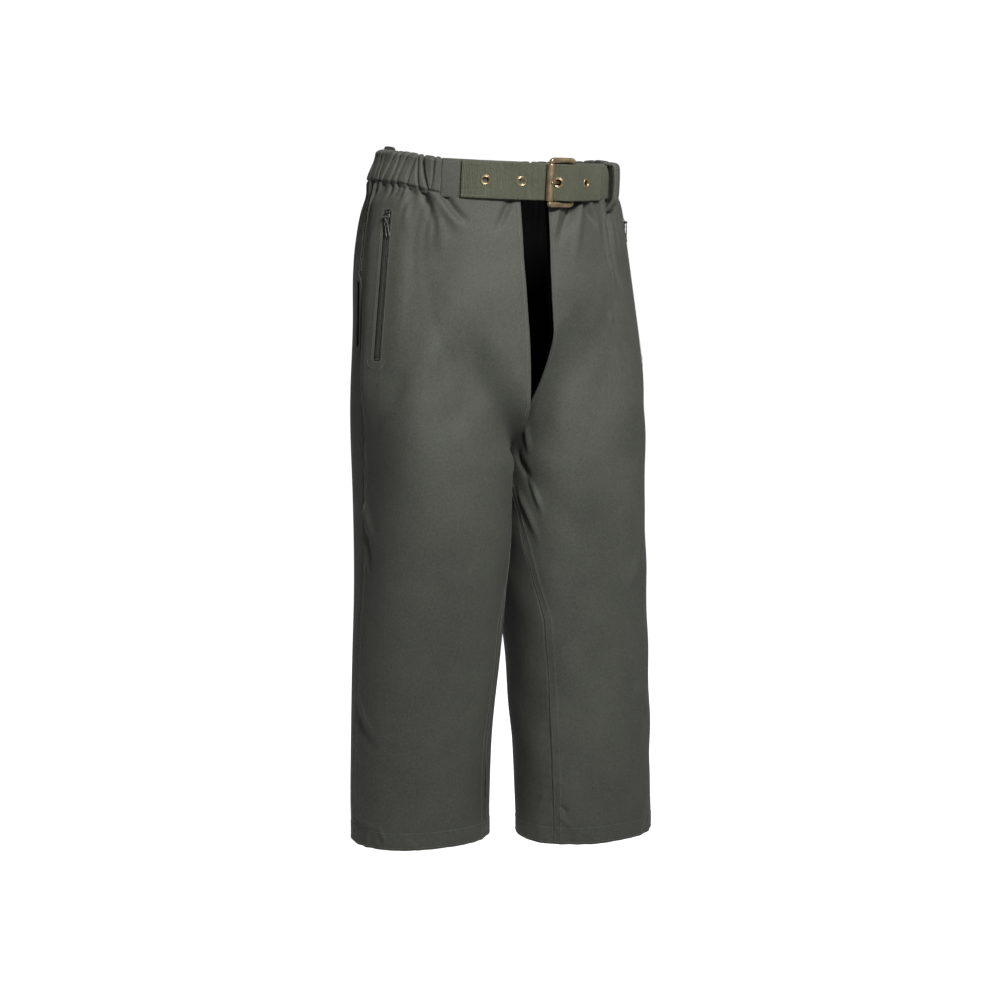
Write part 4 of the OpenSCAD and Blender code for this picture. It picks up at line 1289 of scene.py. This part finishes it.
def add_roller(end):
    """A tube rolled from sheet on the end bar, with its slit and softened ends."""
    tube_half = 20.0 * MM
    gap = math.radians(9)
    profile = [(4.15, a) for a in np.linspace(gap, 2 * math.pi - gap, 40)]
    inner = [(1.9, a) for a in np.linspace(2 * math.pi - gap, gap, 40)]
    section = np.array([(r * math.cos(a), r * math.sin(a)) for r, a in profile + inner]) * MM
    heights = np.concatenate([[-tube_half], np.linspace(-tube_half + 0.4 * MM, tube_half - 0.4 * MM, 24), [tube_half]])
    bore = np.linalg.norm(section, axis=-1, keepdims=True) < 3 * MM
    tapers = 1 - 0.06 * smooth((np.abs(heights) - tube_half + 0.9 * MM) / (0.9 * MM))
    rings = np.array([risen(end + np.where(bore, section, section * taper), w) for w, taper in zip(heights, tapers)])
    add_tube(Piece(), rings).make("buckle_roller_tube", "brass", nodes=["buckle_roller"], body="buckle_roller")


def add_prong(hinge):
    """A bent prong with a round tip, rolled round the hinge bar."""
    line = resampled(softened([(-18, 12.5), (-13.6, 12.4), (-1.8, 4.1), (4, 3.6), (13.2, 4.3)], 3), 0.5)
    plan = buckle_plan(line[:, 0], line[:, 1])
    share = np.linspace(0, 1, len(plan))
    round_tip = np.sqrt(np.clip(1 - (1 - np.clip(share / 0.05, 0, 1)) ** 2, 0.02, 1))
    section = rounded_section(3 * MM, 1.8 * MM, 0.75 * MM, 4)
    rings = strip_rings(plan, section)
    centre = rings.mean(1, keepdims=True)
    taper = (round_tip * (0.82 + 0.18 * smooth(share * 2)))[:, None, None]
    prong = add_tube(Piece(), centre + (rings - centre) * taper)
    eye = [(1.97, -2.5), (3.1, -2.5), (3.4, -2.2), (3.4, 2.2), (3.1, 2.5), (1.97, 2.5)]
    up = tilted([0, 0, 1.0])
    at, along, out = (tilted_plan(v) for v in (hinge, BUCKLE_U, BUCKLE_N))
    add_tube(prong, lathe([(r * MM, d * MM) for r, d in eye], at, along, up, out), closed=True)
    prong.make("buckle_prong_bent", "brass", nodes=["buckle_prong"], body="buckle_prong")


def add_belt_loop():
    """A bridge of folded cloth over the belt, tacked at both ends."""
    angle, reach, width, thick = -43, 12.2 * MM, 13 * MM, 4.0 * MM
    half = BAND_H / 2 - 0.7 * MM
    route = [(0.4 * MM, half), (4 * MM, half + 0.2 * MM), (reach - 1.5 * MM, half - 0.6 * MM), (reach, half - 5 * MM),
             (reach + 0.5 * MM, 4 * MM), (reach + 0.4 * MM, -8 * MM), (reach + 0.1 * MM, -half + 4 * MM),
             (reach - 1.4 * MM, -half - 1 * MM), (reach - 4.6 * MM, -half - 5 * MM), (6 * MM, -half - 8 * MM),
             (3.4 * MM, -half - 10.5 * MM)]
    route = resampled(softened(route, 4), 0.7 * MM)
    aside = path_normal(route)
    section = rounded_section(width, thick, 1.9 * MM, 5, 0.3 * MM)
    plan, out = waist_plan(angle, 0.0), waist_normal(angle)
    along = np.array([-out[1], out[0]])
    route[:, 0] += casing_lean(angle, route[:, 1])
    flat = route[:, None] + aside[:, None] * section[None, :, 1:2]
    points = plan + flat[..., :1] * out + section[None, :, :1] * along
    made = add_tube(Piece(), risen(points, flat[..., 1])).make("belt_loop_cloth", "outer_fabric", "band_fabric",
                                                               ["belt_loop"])
    length = run(route)
    tacks = Piece()
    front = (route[:, 0] > reach - 1.2 * MM)
    sign = 1 if (aside[front][:, 0] < 0).all() else -1
    edge = route[front] - sign * aside[front] * thick * 0.52
    for shift in (-3.2 * MM, 3.2 * MM):
        line = risen(plan + edge[:, :1] * out + shift * along, edge[:, 1])
        add_stitches(tacks, line, np.tile(tilted_plan(out), (len(line), 1)))
    shifts = np.linspace(-4 * MM, 4 * MM, 30)
    for height in (half - 4.5 * MM, -half + 4.5 * MM):
        line = risen(plan + (reach + thick * 0.55) * out + shifts[:, None] * along, height)
        add_stitches(tacks, line, np.tile(tilted_plan(out), (len(line), 1)), pitch=1.1 * MM)
    tacks.make("belt_loop_stitching", "outer_fabric", "thread")


def add_hanger_loop():
    """A loop of black tape inside the casing, standing a little above it."""
    angle, half, tape = 142, 12.75 * MM, 4.5 * MM
    rise, drop = BAND_H / 2 + 10.5 * MM - tape / 2, BAND_H / 2 - 16 * MM
    route = resampled(softened([(-half, drop), (-half, rise - 2 * MM), (-half + 2 * MM, rise), (0, rise + 0.3 * MM),
                                (half - 2 * MM, rise), (half, rise - 2 * MM), (half, drop)], 3), 0.8 * MM)
    section = rounded_section(tape, 1.3 * MM, 0.5 * MM, 3)
    plan, out = waist_plan(angle, -CASING_DEPTH - 1.95 * MM), waist_normal(angle)
    along = np.array([-out[1], out[0]])
    lean = 1.2 * MM * smooth((route[:, 1] - BAND_H / 2) / (8 * MM))
    flat = route[:, None] + path_normal(route)[:, None] * section[None, :, :1]
    deep = section[None, :, 1] + (lean + casing_lean(angle, route[:, 1]))[:, None]
    points = plan + flat[..., :1] * along + deep[..., None] * out
    made = add_tube(Piece(), risen(points, flat[..., 1])).make("hanger_loop_tape", "black_tape",
                                                               nodes=["hanger_loop"])
    length = run(route)


# ---------------------------------------------------------------- the pockets

TAPE_W, TAPE_T, ZIP_GAP = 6.4 * MM, 0.8 * MM, 1.2 * MM
COIL_T = 1.6 * MM
PLATE_T = 1.2 * MM
TOP_PLATE_Y = -COIL_T - 0.3 * MM - PLATE_T
PULL_Y = TOP_PLATE_Y - 1.8 * MM
PULL_Z = -4.5 * MM


def add_capsules(piece, starts, ends, radius, sides=8):
    """Round-ended rods between pairs of points."""
    axis = unit(ends - starts)
    helper = np.where(np.abs(axis[:, 2:3]) > 0.9, [[1.0, 0, 0]], [[0, 0, 1.0]])
    across = unit(np.cross(axis, helper))
    other = np.cross(axis, across)
    marks = [(0, -1.0, 0.05), (0, -0.72, 0.7), (0, 0, 1.0), (1, 0, 1.0), (1, 0.72, 0.7), (1, 1.0, 0.05)]
    angle = np.arange(sides) * 2 * math.pi / sides
    around = across[:, None] * np.cos(angle)[None, :, None] + other[:, None] * np.sin(angle)[None, :, None]
    return add_rods(piece, np.stack([(ends if end else starts)[:, None] + axis[:, None] * push * radius
                                     + around * r * radius for end, push, r in marks], 1))


def add_plate(piece, outline, y0, y1, place, bevel=0.25 * MM):
    """A flat plate with softened edges: an outline in x and z, from depth y0 to y1."""
    outline = np.asarray(outline, float)
    middle = outline.mean(0)
    inward = unit(middle - outline) * bevel
    return add_tube(piece, place([at_depth(o, y) for o, y in ((outline + inward, y0), (outline, y0 + bevel),
                                                              (outline, y1 - bevel), (outline + inward, y1))]))


def add_zip(side):
    """The pocket zip's tapes, coils and stops, which stay with the cloth."""
    word = SIDES[side]

    def place(points):
        return from_zip(side, points)

    tapes, coils, stops = Piece(), Piece(), Piece()
    for flip in (1, -1):
        section = rounded_section(TAPE_W, TAPE_T, 0.3 * MM, 3)
        levels = np.linspace(-ZIP_L - 7 * MM, 7 * MM, 90)
        rings = np.array([np.stack([flip * (ZIP_GAP / 2 + TAPE_W / 2 + section[:, 0]),
                                    TAPE_T / 2 + section[:, 1], np.full(len(section), z)], -1) for z in levels])
        add_tube(tapes, place(rings))
        pitch = 1.5 * MM
        heights = np.arange(-ZIP_L + pitch / 2, -pitch / 2, pitch) + (0.5 * pitch if flip < 0 else 0) * 0.96
        depth = np.full(len(heights), -COIL_T / 2 - 0.05 * MM)
        head = np.stack([np.full(len(heights), -flip * 0.55 * MM), depth, heights], -1)
        root = np.stack([np.full(len(heights), flip * 2.45 * MM), depth, heights + 0.25 * MM], -1)
        add_capsules(coils, place(head), place(root), 0.46 * MM)
        cord = np.array([[flip * 2.5 * MM, -0.5 * MM, -ZIP_L], [flip * 2.5 * MM, -0.5 * MM, -0.2 * MM]])
        add_capsules(coils, place(cord[:1]), place(cord[1:]), 0.42 * MM)
        box = rounded_section(2.3 * MM, 2.5 * MM, 0.6 * MM, 4)
        add_plate(stops, box + [flip * 1.75 * MM, 1.55 * MM], -COIL_T - 0.1 * MM, 0.1 * MM, place)
    box = rounded_section(4.8 * MM, 2.5 * MM, 0.7 * MM, 4)
    add_plate(stops, box + [0, -ZIP_L - 1.55 * MM], -COIL_T - 0.1 * MM, 0.1 * MM, place)
    made = tapes.make(f"zip_tapes_weave_{word}", "zip_tape", nodes=[f"zip_tapes_{word}"])
    coils.make(f"zip_teeth_{word}", "zip_coil", nodes=[f"zip_coils_{word}"])
    stops.make(f"zip_stops_crimped_{word}", "zip_metal", nodes=[f"zip_stops_{word}"])
    add_zip_slider(word, place)
    add_zip_pull(word, place)


def add_zip_slider(word, place):
    """Two waisted plates joined by walls and a wedge, with lugs and a pin for the pull."""
    slider = Piece()
    outline = [(-3.0, 0.0), (0, -0.5), (3.0, 0.0), (4.1, -0.8), (4.3, -2.5), (4.1, -4.5), (3.3, -6.5), (3.1, -10.2),
               (2.6, -11), (-2.6, -11), (-3.1, -10.2), (-3.3, -6.5), (-4.1, -4.5), (-4.3, -2.5), (-4.1, -0.8)]
    outline = np.array(outline) * MM
    add_plate(slider, outline, TOP_PLATE_Y, TOP_PLATE_Y + PLATE_T, place, 0.35 * MM)
    add_plate(slider, outline, TAPE_T + 0.3 * MM, TAPE_T + 0.3 * MM + PLATE_T, place, 0.35 * MM)
    wall = np.array([(3.45, -1.2), (4.15, -1.4), (4.2, -2.6), (4.0, -4.5), (3.3, -6.4), (3.0, -10.4), (2.45, -10.4),
                     (2.6, -6.4), (3.3, -4.2)]) * MM
    for flip in (1, -1):
        add_plate(slider, wall * (flip, 1), TOP_PLATE_Y + 0.4 * MM, -0.35 * MM, place, 0.15 * MM)
        lug = rounded_section(1.0 * MM, 2.6 * MM, 0.45 * MM, 4)
        add_tube(slider, place([at_depth(lug * (1, s) + (flip * 2.6 * MM, PULL_Z), y)
                                for y, s in ((PULL_Y - 1.25 * MM, 0.35), (PULL_Y - 0.8 * MM, 0.85), (PULL_Y, 1.0),
                                             (TOP_PLATE_Y + 0.3 * MM, 1.25))]))
    add_plate(slider, rounded_section(0.6 * MM, 3 * MM, 0.25 * MM, 3) + [0, -2 * MM], TOP_PLATE_Y + 0.3 * MM,
              TAPE_T + 0.9 * MM, place, 0.1 * MM)
    pin = np.array([[-2.6 * MM, PULL_Y, PULL_Z], [2.6 * MM, PULL_Y, PULL_Z]])
    add_capsules(slider, place(pin[:1]), place(pin[1:]), 0.6 * MM, 16)
    slider.make(f"zip_slider_body_{word}", "zip_metal", nodes=[f"zip_slider_{word}"], body=f"zip_slider_{word}")


def add_zip_pull(word, place):
    """A neck that turns on the slider's pin and a long ring that hangs from it, a little askew."""
    pull = Piece()
    turn = turned(1, 11)
    centre = np.array([0, PULL_Y, PULL_Z])

    def hung(points):
        """Turns points of the pull askew and bends them towards the cloth."""
        moved = (np.asarray(points, float) + [0, 0, 2 * MM]) @ turn.T - [0, 0, 2 * MM]
        moved[..., 1] += 2.0 * MM * smooth(-moved[..., 2] / (20 * MM))
        return place(moved + centre)

    eye = [(0.68, -1.75), (1.3, -1.75), (1.5, -1.5), (1.5, 1.5), (1.3, 1.75), (0.68, 1.75)]
    ring = lathe([(r * MM, d * MM) for r, d in eye], centre, np.array([0, 1.0, 0]), np.array([1.0, 0, 0]),
                 np.array([0, 0, 1.0]), 24)
    add_tube(pull, place(ring), closed=True)
    neck = rounded_section(2.7 * MM, 1.2 * MM, 0.4 * MM, 3)
    levels = [(-1.0, 1.0), (-2.4, 0.9), (-3.8, 0.8), (-5.0, 0.95), (-6.2, 1.3)]
    rings = np.array([np.stack([neck[:, 0] * s, neck[:, 1], np.full(len(neck), z * MM)], -1) for z, s in levels])
    add_tube(pull, hung(rings))
    half, length = 1.9 * MM, 17.6 * MM
    path = rounded_section(2 * half, length, half - 0.05 * MM, 10) + [0, -5 * MM - length / 2]
    path = resampled_loop(path, 0.5 * MM)
    angle = np.linspace(0, 2 * math.pi, 12, endpoint=False)
    flat = path[:, None] + path_normal(path, True)[:, None] * 0.65 * MM * np.cos(angle)[None, :, None]
    rings = np.stack([flat[..., 0], np.broadcast_to(0.58 * MM * np.sin(angle), flat.shape[:2]), flat[..., 1]], -1)
    add_tube(pull, hung(rings), closed=True)
    pull.make(f"zip_pull_ring_{word}", "zip_metal", nodes=[f"zip_pull_{word}"], body=f"zip_pull_{word}")


def add_pocket_trim(side):
    """Stitching round the zip, the welt of the hand slit and its bartacks."""
    word = SIDES[side]
    trim = Piece()
    turn = np.linspace(0, math.pi, 40)
    arch = np.stack([12 * MM * np.cos(turn), -11 * MM * np.sin(turn) - 2 * MM - ZIP_L / 2], -1)
    frame_line = rounded_section(13.2 * MM, ZIP_L + 11 * MM, 3 * MM, 5)
    for loop in (np.concatenate([frame_line, frame_line[:1]]), arch):
        loop = resampled(loop, 1.5 * MM)
        normals = np.tile(mirrored(side, ZIP_TURN @ [0, -1.0, 0]), (len(loop), 1))
        add_stitches(trim, from_zip(side, at_depth(loop - (0, ZIP_L / 2), -1.9 * MM)), normals, pitch=2.6 * MM)
    trim.make(f"zip_stitching_{word}", "outer_fabric", "thread")

    half_gap, lip_w = 3.3 * MM, 5.2 * MM
    loop = rounded_section(2 * half_gap + lip_w, SLIT_L + lip_w - 3 * MM, half_gap + lip_w / 2 - 0.05 * MM, 8)
    loop = resampled_loop(loop, 1.2 * MM)
    section = rounded_section(lip_w, 1.5 * MM, 0.7 * MM, 5, 0.25 * MM)
    flat = loop[:, None] + path_normal(loop, True)[:, None] * section[None, :, :1]
    rings = np.stack([np.broadcast_to(section[:, 1], flat.shape[:2]) + 0.35 * MM, flat[..., 0], flat[..., 1]], -1)
    made = add_tube(Piece(), from_slit(side, rings), closed=True).make(
        f"slit_welt_cloth_{word}", "outer_fabric", "band_fabric", [f"slit_welt_{word}"])
    tacks = Piece()
    normal = mirrored(side, [SLIT_TURN @ [1.0, 0, 0]])
    end = SLIT_L / 2 + 2 * MM
    lines = [[(-5.5, -1), (0, -8)], [(5.5, -1), (0, -8)], [(-4.5, 1.6), (4.5, 1.6)]]
    for mirror in (1, -1):
        for (y0, z0), (y1, z1) in lines:
            ys, zs = np.linspace(y0, y1, 20) * MM, (np.linspace(z0, z1, 20) * MM - end) * mirror
            drawn = np.stack([np.full(20, 1.2 * MM), ys, zs], -1)
            add_stitches(tacks, from_slit(side, drawn), np.repeat(normal, 20, 0), pitch=1.2 * MM)
    for y in (-7.4 * MM, 7.4 * MM):
        zs = np.linspace(-end, end, 60)
        drawn = np.stack([np.full(60, 0.55 * MM), np.full(60, y), zs], -1)
        add_stitches(tacks, from_slit(side, drawn), np.repeat(normal, 60, 0), pitch=2.6 * MM)
    tacks.make(f"slit_stitching_{word}", "outer_fabric", "thread")


# ---------------------------------------------------------------- everything

def add_floor():
    """A floor that sweeps up behind the object into a wall."""
    turn = np.radians(np.arange(0, 91, 6))
    profile = np.concatenate([[(-2.6, 0)], np.stack([3 + 2.5 * np.sin(turn), 2.5 - 2.5 * np.cos(turn)], -1),
                              [(5.5, 7)]])
    along = np.array([-math.sin(VIEW_AZIMUTH), math.cos(VIEW_AZIMUTH)])
    across = np.array([along[1], -along[0]])
    rows = []
    for aside in (-3.2, 3.2):
        plan = profile[:, :1] * along + aside * across
        rows.append(np.concatenate([plan, profile[:, 1:] + FLOOR_Z], -1))
    mesh = bpy.data.meshes.new("floor")
    mesh.from_pydata(np.concatenate(rows).tolist(), [], grid_faces(2, len(profile)))
    mesh.polygons.foreach_set("use_smooth", [True] * len(mesh.polygons))
    s = Shade("pale_floor")
    tone = s.noise(s.space(), 0.8, 2)
    glow = s.between(s.node("LightPath", {}, output="Is Camera Ray"), 0.1, FLOOR_GLOW)
    color = s.ramp(tone, (0.3, (0.80, 0.80, 0.80, 1)), (0.7, (0.84, 0.84, 0.84, 1)))
    mesh.materials.append(s.finish(Base_Color=color, Roughness=0.9, Specular_IOR_Level=0.0,
                                   Emission_Color=(1, 1, 1, 1), Emission_Strength=glow))
    add_object("floor", mesh)


add_floor()
for leg_side in SIDES:
    add_leg(leg_side)
    add_pad(leg_side)
    add_pocket_bag(leg_side)
    add_leg_stitching(leg_side)
    add_zip(leg_side)
    add_pocket_trim(leg_side)
add_front_band(RIGHT, -180 + CASING_START + CASING_GAP, front_edge_angle(RIGHT))
add_front_band(LEFT, front_edge_angle(LEFT), -CASING_START - CASING_GAP)
add_elastic_casing()
add_elastic_band()
add_belt()
add_eyelets()
add_buckle_strap()
BUCKLE_END, BUCKLE_HINGE = buckle_plan(*END_BAR), buckle_plan(*HINGE_BAR)
add_buckle_frame(BUCKLE_END, BUCKLE_HINGE)
add_roller(BUCKLE_END)
add_prong(BUCKLE_HINGE)
add_belt_loop()
add_hanger_loop()
